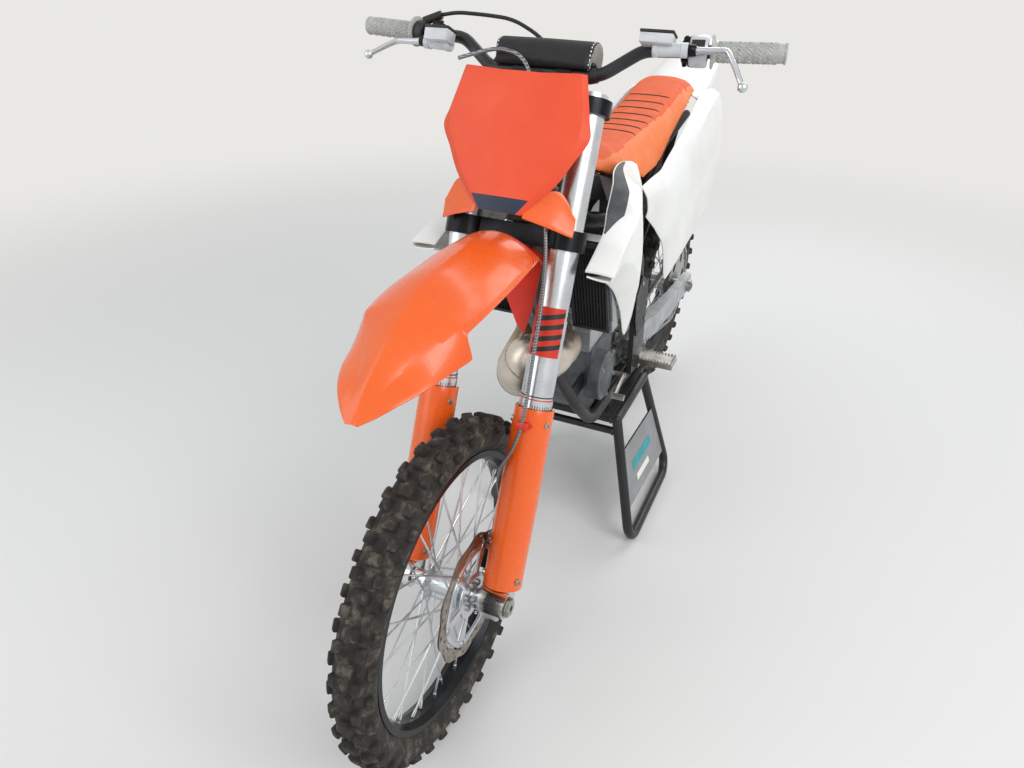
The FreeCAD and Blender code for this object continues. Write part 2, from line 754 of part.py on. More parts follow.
# Bar pad: a thick sleeve over the bar and its clamps, open below; offsets from the bar's middle
pad_half = 96
pad_section = ((-28, -8), (-39, 6), (-39, 46), (-24, 59), (8, 57), (27, 40), (27, 6), (16, -8))
pad_sleeve = loft("pad_sleeve", [
    [(bar_lead + lead, y, bar_height + rise) for lead, rise in pad_section] for y in (-pad_half, pad_half)
])
channel_half = 17 + seat_gap
pad_channel = box("pad_channel", (bar_lead - channel_half, -pad_half - 1, bar_height - 12),
                  (bar_lead + channel_half, pad_half + 1, mount_top + seat_gap))
node(cut("pad", pad_sleeve, pad_channel), "bar_pad", fork_frame)


def hand_control(name, perch_across, lever_end, drop, cup_at, reservoir):
    """Clamp on the bar, master cylinder, and lever with a ball end, for the left hand."""
    perch, way = along_bar(perch_across)
    start = perch - way * 11
    ahead = V(1, 0, -drop).normalize()
    body_in = perch + ahead * 34 - way * 52
    body_out = perch + ahead * 32 + way * 12
    pivot = body_out
    knee = pivot + way * 55 + ahead * 12
    parts = [
        cylinder(name + "_clamp", bar_radius + 6, 22, tuple(start), tuple(way)),
        rod(name + "_arm", 8, tuple(perch + ahead * 14), tuple(perch + ahead * 30)),
        rod(name + "_body", 12, tuple(body_in), tuple(body_out)),
        rod(name + "_lever_in", 6.5, tuple(pivot), tuple(knee)),
        rod(name + "_lever_out", 5.5, tuple(knee), lever_end),
        ball(name + "_knee", 7.2, tuple(knee)),
        ball(name + "_ball", 8.5, lever_end),
    ]
    top = body_in + V(*cup_at)
    size_x, size_y, size_z = reservoir
    parts.append(box(name + "_cup", (top.x - size_x / 2, top.y - size_y / 2, top.z),
                     (top.x + size_x / 2, top.y + size_y / 2, top.z + size_z)))
    bore = rod(name + "_bore", bar_radius + running_gap, tuple(perch - way * 60), tuple(perch + way * 60))
    return cut(name, fuse(name + "_solid", parts), bore)


lever_across = bar_half - 51
clutch_side = hand_control("clutch_side", grip_foot - 37, (40, lever_across, bar_height - 4), 0.25,
                           (5, 7, 6), (30, 56, 21))
brake_side = mirrored(hand_control("brake_side", grip_foot - 46, (42, lever_across, bar_height - 2), 0.9,
                                   (13, 20, 0), (34, 48, 26)))
node(group("hand_control_pair", [clutch_side, brake_side]), "hand_controls", fork_frame)

# Throttle housing at the right grip, with its cable
throttle_at, throttle_way = along_bar(grip_foot - 19)
port_end = tuple(throttle_at + throttle_way * 8 + V(-2, -34, 34))
housing = fuse("throttle_solid", [
    cylinder("throttle_drum", 20, 17, tuple(throttle_at), tuple(throttle_way)),
    rod("throttle_port", 8, tuple(throttle_at + throttle_way * 8 + V(0, 0, 20)), port_end),
])
throttle_bore = rod("throttle_bore", bar_radius + running_gap, tuple(throttle_at - throttle_way * 20),
                    tuple(throttle_at + throttle_way * 40))
housing_cut = mirrored(cut("throttle_left", housing, throttle_bore))
cable_start = V(*port_end)
clip_lead = -36
clip_across = 12
clip_foot = top_clamp_low + 4
cable_route = [
    (cable_start.x, -cable_start.y, cable_start.z),
    (cable_start.x + 1, -cable_start.y + 34, cable_start.z + 6),
    (-16, -150, bar_height + 100),
    (-24, -95, bar_height + 98),
    (-36, -40, bar_height + 74),
    (-40, -2, bar_height + 38),
    (clip_lead - 2, clip_across, bar_height - 4),
    (clip_lead, clip_across, clip_foot + 20),
]
cable_end = cylinder("cable_clip", 6, 20, (clip_lead, clip_across, clip_foot))
cable_arm = box("cable_clip_arm", (clip_lead + 2, clip_across - 6, clip_foot + 2),
                (-20 - seat_gap, clip_across + 6, clip_foot + 14))
node(fuse("throttle", [housing_cut, cord("cable", 3.5, cable_route), cable_end, cable_arm]),
     "throttle_cable", fork_frame)

# Number plate: lead at the middle and at the edge, half width, along
plate_rows = (
    (122, 112, 42, 712),
    (120, 104, 95, 772),
    (118, 100, 137, 852),
    (113, 98, 112, 952),
)


def plate_ring(middle, edge, half, along):
    line = [(edge, -half), (middle, -half * 0.35), (middle, half * 0.35), (edge, half)]
    return [(a, b, along) for a, b in wall_outline(line, -float(skin_wall))]


plate_skin = loft("plate_skin", [plate_ring(*row) for row in plate_rows])
hook_front = 117
plate_hooks = [
    box("plate_hook_low", (leg_lead + 14 + seat_gap, -22, 694), (hook_front, 22, 716)),
    box("plate_hook_top", (leg_lead + 12 + seat_gap, 8, 912), (112, 34, 924)),
]

# Wings from the plate's back to the front of the legs: across, lead, low, high
wing_rows = (
    (44, 109, 708, 748),
    (93, 88, 698, 763),
    (120, 71, 691, 732),
    (126, 67, 690, 724),
)
wing = loft("plate_wing", [
    [(lead, across, low), (lead, across, high), (lead - skin_wall, across, high), (lead - skin_wall, across, low)]
    for across, lead, low, high in wing_rows
])
node(fuse("plate", [plate_skin, wing, mirrored(wing), *plate_hooks]), "number_plate", fork_frame)

# Front fender in the bike's frame: x, height of the middle, then (across, height) out to the edge
fender_rows = (
    (430, 926, (28, 922), (62, 912), (66, 902)),
    (500, 984, (30, 978), (76, 948), (82, 938)),
    (600, 996, (28, 989), (84, 951), (88, 941)),
    (700, 997, (27, 990), (86, 952), (90, 942)),
    (770, 982, (25, 975), (80, 950), (88, 941)),
    (778, 979, (25, 972), (79, 949), (98, 905)),
    (820, 962, (22, 955), (60, 935), (86, 902)),
    (866, 936, (18, 930), (36, 918), (72, 899)),
    (905, 912, (13, 908), (22, 904), (52, 893)),
    (936, 890, (8, 888), (12, 887), (27, 881)),
    (952, 877, (3, 876), (6, 876), (10, 875)),
)


def crowned_ring(x, middle, *side):
    """Section of a skin that is alike on both sides of the middle plane."""
    line = [(-across, height) for across, height in side[::-1]] + [(0, middle)] + list(side)
    return [(x, a, b) for a, b in wall_outline(line, float(skin_wall))]


fender_skin = loft("fender_skin", [[to_fork(*point) for point in crowned_ring(*row)] for row in fender_rows])
fender_mount = box("fender_mount", (-4, -34, 634), (46, 34, lower_clamp_low - seat_gap))

# Flap behind the front wheel, in two points: across, along
flap_outline = ((0, 572), (33, 521), (51, 506), (59, 567), (63, 650), (50, 662))
flap_corners = list(flap_outline) + [(-across, along) for across, along in flap_outline[:0:-1]]
fender_flap = loft("fender_flap", [
    [(lead, across, along) for across, along in flap_corners] for lead in (13.5, 17)
])
node(fuse("fender", [fender_skin, fender_mount, fender_flap]), "front_fender", fork_frame)

# Brake caliper behind the left leg, astride the disc, and its hose down the front of the leg
caliper_z = 62
caliper_x = -40
caliper_low = front_disc_across - 20
caliper_blocks = fuse("caliper_blocks", [
    box("caliper_block", (caliper_x - 24, caliper_low, caliper_z - 36),
        (caliper_x + 22, front_disc_across + 20, caliper_z + 38)),
    box("caliper_arm", (caliper_x + 16, 67, caliper_z - 30), (-1.5, 75, caliper_z - 4)),
])
slot_half = disc_thickness / 2 + 2
caliper_slot = cylinder("caliper_slot", front_disc_radius + 4, slot_half * 2,
                        (axle_lead, front_disc_across - slot_half, 0), (0, 1, 0))
node(cut("caliper", caliper_blocks, caliper_slot), "front_caliper", fork_frame)

hose_route = [
    (46, -157, 976),
    (51, -120, 986),
    (53, -78, 997),
    (55, -34, 988),
    (58, -7, 960),
    (60, -3, 915),
    (62, 8, 865),
    (64, 36, 800),
    (70, 66, 740),
    (74, 80, 690),
    (70, 87, 640),
    (66, 92, 580),
    (69, 95, 520),
    (72, 97, 460),
    (72, 99, 400),
    (71, 99, 345),
    (70, 88, 298),
    (58, 68, 262),
    (34, 57, 226),
    (4, 56.5, 186),
    (-24, 57, 148),
    (-38, 55, 112),
    (-40, 54, 100.5),
]
node(cord("hose", 3.5, hose_route), "brake_hose", fork_frame)

# Frame, in the bike's frame

head_low = lower_clamp_low + lower_clamp_height + 4
head_top = top_clamp_low - 4
head = rod("head_tube", head_tube_radius, steer_point(0, 0, head_low), steer_point(0, 0, head_top))
head_bore = rod("head_bore", stem_radius + running_gap, steer_point(0, 0, head_low - 1),
                steer_point(0, 0, head_top + 1))
neck = steer_point(-24, 0, float(head_low) + 48)
spar_start = steer_point(-20, 15, float(head_low) + 74)
down_end = (205, 0, 505)
lean = (neck[0] - down_end[0]) / (neck[2] - down_end[2])
cradle_route = [
    (216, 10, 535),
    (190, 62, 430),
    (140, cradle_half, on_stand(140, float(seat_gap + cradle_radius))),
    (-60, cradle_half + 4, on_stand(-60, float(seat_gap + cradle_radius))),
    (-195, cradle_half + 13, on_stand(-195, float(seat_gap + cradle_radius))),
]
left_spar = [
    spar_start,
    (200, 62, 905),
    (40, 84, 850),
    (-150, plate_inner - 4, 690),
    (-160, plate_inner - 4, 560),
]
left_frame = [
    tube("spar", spar_radius, left_spar, 120),
    tube("cradle", cradle_radius, cradle_route, 90),
    rod("spar_brace", 11, (262, 8, 680), (60, 82, 855)),
    box("pivot_plate", (-215, plate_inner, 356), (-112, plate_inner + plate_thickness, 600)),
    box("plate_foot", (-215, cradle_half + 5, 345), (-170, plate_inner + 4, 372)),
]
frame_parts = [head, rod("down_tube", down_tube_radius, neck, down_end)]
for part in left_frame:
    frame_parts.append(part)
    frame_parts.append(mirrored(part))
def radiator_face(z):
    """x of the radiators' front at a height, which follows the down tube's lean."""
    return float(radiator_front + (z - radiator_low) * lean)


for z in (720, 880):
    tube_x = down_end[0] + (z - down_end[2]) * lean
    middle = radiator_face(z) - float(radiator_depth) / 2
    frame_parts.append(box("radiator_bar", (middle - 7, -radiator_inner + seat_gap, z - 6),
                           (middle + 7, radiator_inner - seat_gap, z + 6)))
    frame_parts.append(box("radiator_link", (middle, -10, z - 6), (tube_x, 10, z + 6)))
for side in (1, -1):
    ends = sorted((side * 42, side * 50))
    frame_parts.append(box("engine_hanger", (118.5, ends[0], 440), (196, ends[1], 480)))
frame_parts.append(rod("shock_cross", 14, (-60, -84, 766), (-60, 84, 766)))
for side in (1, -1):
    ends = sorted((side * 18.4, side * 27))
    frame_parts.append(box("shock_ear", (-190, ends[0], 728), (-62, ends[1], 772)))
node(cut("frame_cut", fuse("frame_solid", frame_parts), head_bore), "frame", stance)

# Rear subframe with the airbox
rail_rows = (
    ((-85, 57, 752), (-420, 58, 888), (-700, 52, 905)),
    ((-160, 59, 600), (-430, 54, 780), (-560, 54, 890)),
)
sub_parts = []
for i, row in enumerate(rail_rows):
    rail = tube(f"sub_rail{i}", 11, row, 200)
    sub_parts.append(rail)
    sub_parts.append(mirrored(rail))
sub_parts.append(loft("airbox", [
    [(-250, -54, 700), (-250, 54, 700), (-250, 54, 903.9), (-250, -54, 903.9)],
    [(-330, -56, 660), (-330, 56, 660), (-330, 56, 920.9), (-330, -56, 920.9)],
    [(-400, -58, 702), (-400, 58, 702), (-400, 56, 935.7), (-400, -56, 935.7)],
    [(-440, -58, 740), (-440, 58, 740), (-440, 56, 938), (-440, -56, 938)],
]))
sub_parts.append(rod("sub_cross", 11, (-620, -54, 904), (-620, 54, 904)))
node(fuse("sub_solid", sub_parts), "subframe_airbox", stance)

# Engine
case_low = 376
case = [
    box("case_main", (-44, -76, case_low), (118, 66, 545)),
    box("case_rear", (-140, -76, 392), (-43, 48, 540)),
    cylinder("ignition_cover", 62, 26, (78, 66, 462), (0, 1, 0)),
    cylinder("clutch_cover", 78, 40, (-8, -116, 458), (0, 1, 0)),
    cylinder("water_pump", 34, 34, (112, -110, 440), (0, 1, 0)),
    cylinder("oil_cap", 12, 12, (38, -124, 500), (0, 1, 0)),
    cylinder("kick_shaft", 10, 38, (-62, -150, 470), (0, 1, 0)),
    rod("kick_arm", 7, (-62, -146, 470), (-96, -166, 600)),
    ball("kick_knuckle", 11, (-96, -166, 600)),
    cylinder("countershaft", 14, chain_across + 12 - 48, (drive_x, 48, drive_z), (0, 1, 0)),
    cylinder("drive_sprocket", drive_radius - 5, sprocket_thickness,
             (drive_x, chain_across - sprocket_half, drive_z), (0, 1, 0)),
]
for x, z in ((40, 510), (118, 500), (128, 430), (78, 408), (28, 440)):
    case.append(cylinder("ignition_bolt", 5, 4, (x, 91, z), (0, 1, 0)))
for i in range(8):
    x, _, z = round_axle(0, 70, i * 45 + 10)
    case.append(cylinder("clutch_bolt", 5, 4, (x - 8, -119, z + 458), (0, 1, 0)))
node(fuse("engine", case), "engine_cases", stance)

cyl = [
    loft("barrel", [
        [(8, -62, z), (124, -62, z), (124, 62, z), (8, 62, z)] for z in (545.3, 700)
    ]),
    cylinder("head_dome", 56, 42, (66, 0, 700)),
    cylinder("plug", 11, 34, (66, 0, 742)),
    cylinder("exhaust_port", 27, 30, (118, 0, 613), (1, 0, 0)),
    cylinder("inlet", 24, 80, (-65, 0, 600), (1, 0, 0)),
    cylinder("carburettor", 36, 62, (-118, 0, 600), (1, 0, 0)),
    cylinder("carburettor_top", 23, 44, (-87, 0, 620)),
    cylinder("carburettor_bowl", 24, 42, (-87, 0, 546)),
    cylinder("power_valve", 15, 52, (92, 36, 640), (0, 1, 0)),
    loft("inlet_boot", [
        [(-116, -24, 576), (-116, 24, 576), (-116, 24, 626), (-116, -24, 626)],
        [(-150, 32, 634), (-150, 68, 634), (-150, 68, 686), (-150, 32, 686)],
        [(-200, 46, 690), (-200, 80, 690), (-200, 80, 750), (-200, 46, 750)],
        [(-249.7, 26, 730), (-249.7, 60, 730), (-249.7, 60, 790), (-249.7, 26, 790)],
    ]),
]
node(fuse("top_end", cyl), "cylinder", stance)

# Expansion chamber: x, y, z, radius along its middle line, as cones and balls
chamber_rows = (
    (148.3, 0, 613, 23),
    (172, 0, 613, 23),
    (200, 40, 612, 25),
    (246, 51, 620, 28),
    (298, 43, 632, 42),
    (336, 10, 634, 55),
    (332, -12, 602, 57),
    (288, -50, 564, 48),
    (206, -92, 552, 31),
    (80, -110, 574, 23),
    (-60, -130, 632, 18),
    (-150, -130, 678, 17),
    (-205, -108, 712, 17),
    (-246, -103, 740, 17),
)


def swelling_pipe(name, rows):
    """Pipe through round sections (x, y, z, radius), each square to the middle line."""
    sections = []
    for i, row in enumerate(rows):
        here = V(*row[:3])
        before = V(*rows[max(i - 1, 0)][:3])
        after = V(*rows[min(i + 1, len(rows) - 1)][:3])
        way = V(0, 0, 0)
        for run in (here - before, after - here):
            if run.Length > 0:
                way += run.normalize()
        ring = doc.addObject("Part::Circle", name + "_ring")
        bind(ring, "Radius", row[3])
        ring.Placement = FreeCAD.Placement(here, FreeCAD.Rotation(V(0, 0, 1), way))
        sections.append(ring)
    pipe = doc.addObject("Part::Loft", name)
    pipe.Sections = sections
    pipe.Solid = True
    pipe.Ruled = True
    return pipe


node(swelling_pipe("chamber", chamber_rows), "exhaust_chamber", stance)

chamber_end = V(*chamber_rows[-1][:3])
chamber_way = (chamber_end - V(*chamber_rows[-2][:3])).normalize()
inlet_start = chamber_end + chamber_way * float(seat_gap)
inlet_end = chamber_end + chamber_way * 16
silencer = swelling_pipe("silencer_solid", [
    (*inlet_start, 20),
    (*inlet_end, 20),
    (-336, -104, 772, 34),
    (-600, -106, 842, 34),
    (-640, -106, 852, 22),
])
silencer_hole = rod("silencer_hole", 14, (-600, -106, 842), (-660, -106, 857))
node(cut("silencer_cut", silencer, silencer_hole), "silencer", stance)

# Radiators lean back with the down tube. The guard in front of each has slats between its two ends

def leaning(offset, y_low, y_high, z_low, z_high, thickness):
    """Rings of an upright block; its front is `offset` ahead of the radiators' front."""
    rings = []
    for z in (z_low, z_high):
        front = radiator_face(z) + offset
        rings.append([(front - thickness, y_low, z), (front, y_low, z), (front, y_high, z),
                      (front - thickness, y_high, z)])
    return rings


tank_height = 30
inner = float(radiator_inner)
outer = float(radiator_outer)
foot = float(radiator_low)
top = float(radiator_top)
radiator = fuse("radiator", [
    loft("radiator_core", leaning(-4, inner, outer, foot + tank_height, top - tank_height, 26)),
    loft("radiator_foot", leaning(0, inner, outer, foot, foot + tank_height, radiator_depth)),
    loft("radiator_head", leaning(0, inner, outer, top - tank_height, top, radiator_depth)),
])
hose_up = tube("coolant_up", 9, [(95, 0, 745.4), (100, 10, 775), (170, 50, 830), (262, 72, 884)])
hose_down = tube("coolant_down", 11, [
    (121, -88, 475.5),
    (125, -88, 500),
    (156, -66, 528),
    (160, -44, 572),
    (178, -62, 640),
    (206, -90, 690),
])
node(group("radiator_pair", [fuse("radiator_left", [radiator, hose_up]),
                             fuse("radiator_right", [mirrored(radiator), hose_down])]), "radiators", stance)

louvre_inner = inner - 2
louvre_outer = outer - 5
louvre_depth = 10
louvre_rim = 7
louvre_front = louvre_depth + float(seat_gap)
louvre_frame = cut(
    "louvre_frame",
    loft("louvre_block", leaning(louvre_front, louvre_inner, louvre_outer, foot, top, louvre_depth)),
    loft("louvre_window", leaning(louvre_front + 1, louvre_inner + louvre_rim, louvre_outer - louvre_rim,
                                  foot + 14, top - 14, louvre_depth + 2)),
)
louvre_parts = [louvre_frame]
slat_count = 7
slat_step = (louvre_outer - louvre_inner - 2 * louvre_rim) / slat_count
for i in range(slat_count):
    slat_y = louvre_inner + louvre_rim + i * slat_step
    louvre_parts.append(loft("louvre_slat", [
        [(radiator_face(z) + float(seat_gap), slat_y, z), (radiator_face(z) + louvre_front, slat_y + 5, z),
         (radiator_face(z) + louvre_front, slat_y + 7.5, z), (radiator_face(z) + float(seat_gap), slat_y + 2.5, z)]
        for z in (foot + 8, top - 8)
    ]))
for share in (0.33, 0.66):
    middle = foot + (top - foot) * share
    louvre_parts.append(loft("louvre_rib", leaning(louvre_front - 4, louvre_inner, louvre_outer,
                                                   middle - 3, middle + 3, 5)))
node(both("louvre_pair", fuse("louvre", louvre_parts)), "radiator_louvres", stance)

# Body skins of the left side: x, then (across, height) from the inner edge round to the lower edge
shroud_rows = (
    (444, (151, 912), (204, 909), (200, 896), (154, 900)),
    (350, (147, 937), (196, 930), (192, 890), (151, 852)),
    (258, (126, 958), (190, 944), (190, 850), (150, 786)),
    (200, (116, 985), (178, 958), (186, 790), (150, 717)),
    (145, (100, 994), (158, 966), (168, 740), (150, 627)),
    (85, (90, 990), (136, 955), (152, 850), (148, 650)),
    (25, (86, 978), (124, 945), (130, 925), (132, 905)),
    (-12, (90, 968), (104, 962), (106, 956), (108, 950)),
)


def side_ring(row):
    x = row[0]
    outline = wall_outline(list(row[1:]), float(skin_wall))
    return [(x, a, b) for a, b in outline]


shroud_skin = loft("shroud_skin", [side_ring(row) for row in shroud_rows])
shroud_bosses = [
    cylinder("shroud_boss", 8, reach - radiator_outer - seat_gap, (x, radiator_outer + seat_gap, z), (0, 1, 0))
    for x, z, reach in ((256, 860, 188), (238, 800, 172))
]
node(both("shroud_pair", fuse("shroud", [shroud_skin, *shroud_bosses])), "shrouds", stance)

tank = loft("tank_solid", [
    [(226, -58, 962), (226, 58, 962), (226, 44, 1000), (226, -44, 1000)],
    [(150, -92, 932), (150, 92, 932), (150, 72, 984), (150, -72, 984)],
    [(40, -78, 892), (40, 78, 892), (40, 60, 942), (40, -60, 942)],
    [(-30, -66, 880), (-30, 66, 880), (-30, 50, 925), (-30, -50, 925)],
])
filler = cylinder("tank_filler", 30, 24, (168, 0, 980))
node(fuse("tank_with_filler", [tank, filler]), "tank", stance)

# Seat: x, height of the middle, top edge, base edge, height of the hollow under it
seat_rows = (
    (130, 1022, (30, 1018), (48, 990), 994),
    (40, 1006, (42, 1001), (78, 950), 953),
    (-60, 992, (50, 988), (96, 900), 936),
    (-230, 988, (56, 984), (98, 886), 900),
    (-400, 998, (58, 994), (100, 932), 936),
    (-520, 1012, (60, 1008), (100, 964), 968),
    (-640, 1024, (56, 1020), (90, 985), 989),
)


def seat_ring(x, middle, crest, base, hollow):
    side = [crest, base, (base[0] - 10, base[1]), (base[0] * 0.64, hollow)]
    line = [(0, middle)] + side + [(-across, height) for across, height in side[::-1]]
    return [(x, a, b) for a, b in line]


node(loft("seat_solid", [seat_ring(*row) for row in seat_rows]), "seat", stance)

panel_rows = (
    (-40, (112, 905), (128, 880), (132, 850), (128, 834)),
    (-148, (109, 895), (132, 865), (136, 800), (130, 757)),
    (-220, (108, 888), (134, 850), (140, 760), (133, 690)),
    (-265, (108, 898), (135, 855), (144, 720), (138, 580)),
    (-404, (111, 935), (140, 890), (152, 760), (150, 612)),
    (-634, (102, 982), (136, 945), (152, 800), (150, 624)),
    (-715, (101, 975), (130, 950), (150, 820), (150, 650)),
    (-800, (102, 960), (124, 945), (142, 880), (148, 765)),
)
panel_skin = loft("panel_skin", [side_ring(row) for row in panel_rows])
panel_foot = 56
panel_boss = cylinder("panel_boss", 8, 134 - panel_foot, (-270, panel_foot, 850), (0, 1, 0))
node(both("panel_pair", fuse("panel", [panel_skin, panel_boss])), "side_panels", stance)

# Rear fender: x, height of the middle, then (across, height) out to the edge
tail_rows = (
    (-642, 982, (60, 978), (96, 958), (98, 930)),
    (-800, 1012, (58, 1006), (92, 985), (96, 955)),
    (-960, 1032, (50, 1028), (80, 1012), (84, 995)),
    (-1121, 1044, (34, 1040), (56, 1030), (60, 1020)),
)
tail_skin = loft("tail_skin", [crowned_ring(*row) for row in tail_rows])
tail_foot = [
    box("tail_post", (-630, -25, 915.3), (-610, 25, 950)),
    box("tail_ledge", (-662, -25, 938), (-610, 25, 950)),
    box("tail_riser", (-662, -25, 940), (-646, 25, 981)),
]
node(fuse("tail", [tail_skin, *tail_foot]), "rear_fender", stance)

# Swingarm: left arm sections by their share of the way to the axle, inner, outer, low, high
arm_rows = (
    (-0.042, 46, 90, 392, 444),
    (0.123, 54, 90, 384, 442),
    (0.303, 74, 110, 368, 432),
    (0.684, 84, 110, 336, 398),
    (1.082, 84, 110, 312, 366),
)
arm_sections = []
for share, inner, outer, low, high in arm_rows:
    x = float(pivot_x + (rear_axle[0] - pivot_x) * share)
    arm_sections.append([(x, inner, low), (x, outer, low), (x, outer, high), (x, inner, high)])
arm_solid = loft("arm", arm_sections)
pivot_tube = cylinder("pivot_tube", 25, (plate_inner - seat_gap) * 2,
                      (pivot_x, -plate_inner + seat_gap, pivot_z), (0, 1, 0))
bridge = box("arm_bridge", (-345, -76, 380), (-290, 76, 430))
axle_slot = cylinder("arm_axle_hole", rear_axle_radius + running_gap, 260,
                     (rear_axle[0], -130, rear_axle[2]), (0, 1, 0))
swingarm_solid = fuse("swingarm_solid", [arm_solid, mirrored(arm_solid), pivot_tube, bridge])
node(cut("swingarm_cut", swingarm_solid, axle_slot), "swingarm", stance)

shock_top = (-170, 0, 748)
shock_foot = (-240, 0, 400)


def on_shock(share):
    return tuple(a + (b - a) * share for a, b in zip(shock_top, shock_foot))


shock_solid = fuse("shock_solid", [
    rod("shock_body", 17.5, on_shock(0.0), on_shock(0.3)),
    rod("shock_can", 24, on_shock(0.12), on_shock(0.5)),
    rod("shock_spring", 38, on_shock(0.22), on_shock(0.86)),
    rod("shock_rod", 9, on_shock(0.5), on_shock(1.0)),
    cylinder("shock_eye", 19, 36, (shock_top[0], -18, shock_top[2]), (0, 1, 0)),
    box("shock_link", (-289.7, -16, 386), (-222, 16, 416)),
])
node(shock_solid, "rear_shock", stance)

# Chain: a band round both sprockets, along their outer tangents
from_drive = V(rear_axle[0] - drive_x, 0, rear_axle[2] - drive_z)
span_angle = math.atan2(from_drive.z, from_drive.x)
tangent_turn = math.acos((drive_radius - sprocket_radius) / from_drive.Length)


chain_side = chain_across - chain_half_width
drive_centre = V(drive_x, chain_side, drive_z)
wheel_centre = V(rear_axle[0], chain_side, rear_axle[2])


def chain_loop(offset):
    """Closed wire at `offset` from the pitch line, flat facets round each sprocket."""
    ends = (span_angle - tangent_turn, span_angle + tangent_turn, span_angle - tangent_turn + 2 * math.pi)
    corners = []
    for centre, radius, start, end, facets in (
        (wheel_centre, sprocket_radius, ends[0], ends[1], 14),
        (drive_centre, drive_radius, ends[1], ends[2], 8),
    ):
        step = (end - start) / facets
        reach = float(radius + offset) / math.cos(step / 2)
        for i in range(facets):
            turn = start + (i + 0.5) * step
            corners.append(centre + V(math.cos(turn), 0, math.sin(turn)) * reach)
    return Part.makePolygon(corners + corners[:1])


link_low = -float(chain_half_height) + 4
outer_loop = Part.Face(chain_loop(float(chain_half_height)))
roof_loop = Part.Face(chain_loop(float(chain_half_height) - 2.5))
inner_loop = Part.Face(chain_loop(link_low))
band = doc.addObject("Part::Feature", "chain_band")
band.Shape = outer_loop.cut(inner_loop).extrude(V(0, float(chain_half_width) * 2, 0))
slot = doc.addObject("Part::Feature", "chain_slot")
slot_floor = Part.Face(chain_loop(link_low - 4))
slot.Shape = roof_loop.cut(slot_floor).extrude(V(0, float(chain_slot), 0))
slot.Placement = FreeCAD.Placement(V(0, float(chain_half_width) - float(chain_slot) / 2, 0), FreeCAD.Rotation())

# Every fourth link's plates stand out from the band
pitch_line = chain_loop(0)
pair_count = round(pitch_line.Length / (2 * float(chain_pitch)))
stops = pitch_line.discretize(Number=pair_count * 2 + 1)
plate_size = V(21, float(chain_half_width) * 2 + 3, float(chain_half_height) * 2 - 2.5)
loop_middle = (drive_centre + wheel_centre) * 0.5
links = [band]
for i in range(0, pair_count * 2, 4):
    way = stops[(i + 1) % (pair_count * 2)] - stops[i - 1 if i else pair_count * 2 - 1]
    if V(-way.z, 0, way.x).dot(stops[i] - loop_middle) < 0:
        way = -way
    plates = doc.addObject("Part::Box", "link_plates")
    plates.Length, plates.Width, plates.Height = plate_size
    corner = FreeCAD.Placement(V(-plate_size.x / 2, -1.5, link_low), FreeCAD.Rotation())
    turn = FreeCAD.Rotation(way, turn_y, V(-way.z, 0, way.x), "XZY")
    plates.Placement = FreeCAD.Placement(stops[i], turn) * corner
    links.append(plates)
node(cut("chain_cut", fuse("chain_links", links), slot), "chain", stance)

# Footpegs and foot levers
plate_outer = plate_inner + plate_thickness
peg = fuse("peg", [
    box("peg_bracket", (-172, plate_outer + seat_gap, 372), (-128, plate_outer + 14, 412)),
    box("peg_tread", (-178, plate_outer + 13, 388), (-124, plate_outer + 14 + peg_reach, 404)),
])
shift_shaft = cylinder("shift_shaft", 7, 50, (-20, 66.3, 410), (0, 1, 0))
shift = fuse("shift_lever", [
    shift_shaft,
    rod("shift_arm", 6, (-20, 110, 410), (95, 122, 420)),
    cylinder("shift_toe", 8, 32, (95, 116, 420), (0, 1, 0)),
])
pedal = fuse("brake_pedal", [
    rod("pedal_arm", 7, (-180, -124, 366), (40, -134, 396)),
    cylinder("pedal_hub", 11, 26, (-180, -132.3, 366), (0, 1, 0)),
    box("pedal_toe", (36, -156, 390), (72, -124, 402)),
])
node(group("foot_set", [peg, mirrored(peg), shift, pedal]), "foot_controls", stance)

# Rear brake and axle
rear_slot_half = disc_thickness / 2 + 2
caliper_foot = rear_axle[2] + rear_disc_radius - 30
rear_caliper = box("rear_caliper_block", (rear_axle[0] + 52.5, -81, caliper_foot),
                   (rear_axle[0] + 132.5, -rear_disc_across + 18, caliper_foot + 56))
rear_caliper_arm = box("rear_caliper_arm", (rear_axle[0] + 52.5, -81, caliper_foot - 48),
                       (rear_axle[0] + 102.5, -70, caliper_foot + 10))
rear_caliper_slot = cylinder("rear_caliper_slot", rear_disc_radius + 4, rear_slot_half * 2,
                             (rear_axle[0], -rear_disc_across - rear_slot_half, rear_axle[2]), (0, 1, 0))
node(cut("rear_caliper", fuse("rear_caliper_solid", [rear_caliper, rear_caliper_arm]), rear_caliper_slot),
     "rear_brake", stance)

arm_outer = 110
rear_reach = arm_outer + 15
nut_side = arm_outer + seat_gap
rear_bar = fuse("rear_axle_solid", [
    cylinder("rear_axle_bar", rear_axle_radius, rear_reach * 2, (rear_axle[0], -rear_reach, rear_axle[2]), (0, 1, 0)),
    cylinder("rear_axle_nut", 20, 11, (rear_axle[0], nut_side, rear_axle[2]), (0, 1, 0)),
    cylinder("rear_axle_head", 20, 11, (rear_axle[0], -nut_side - 11, rear_axle[2]), (0, 1, 0)),
])
rear_hole = cylinder("rear_axle_hole", rear_axle_bore, rear_reach * 2 + 20,
                     (rear_axle[0], -rear_reach - 10, rear_axle[2]), (0, 1, 0))
node(cut("rear_axle_cut", rear_bar, rear_hole), "rear_axle", stance)

# Frame guards over the pivot plates
guard_plate = loft("frame_guard_left", [
    [(-124, y, 470), (-100, y, 530), (-96, y, 600), (-140, y, 640), (-196, y, 600), (-208, y, 470)]
    for y in (float(plate_outer + seat_gap), float(plate_outer + seat_gap) + 3)
])
node(both("frame_guard_pair", guard_plate), "frame_guards", stance)

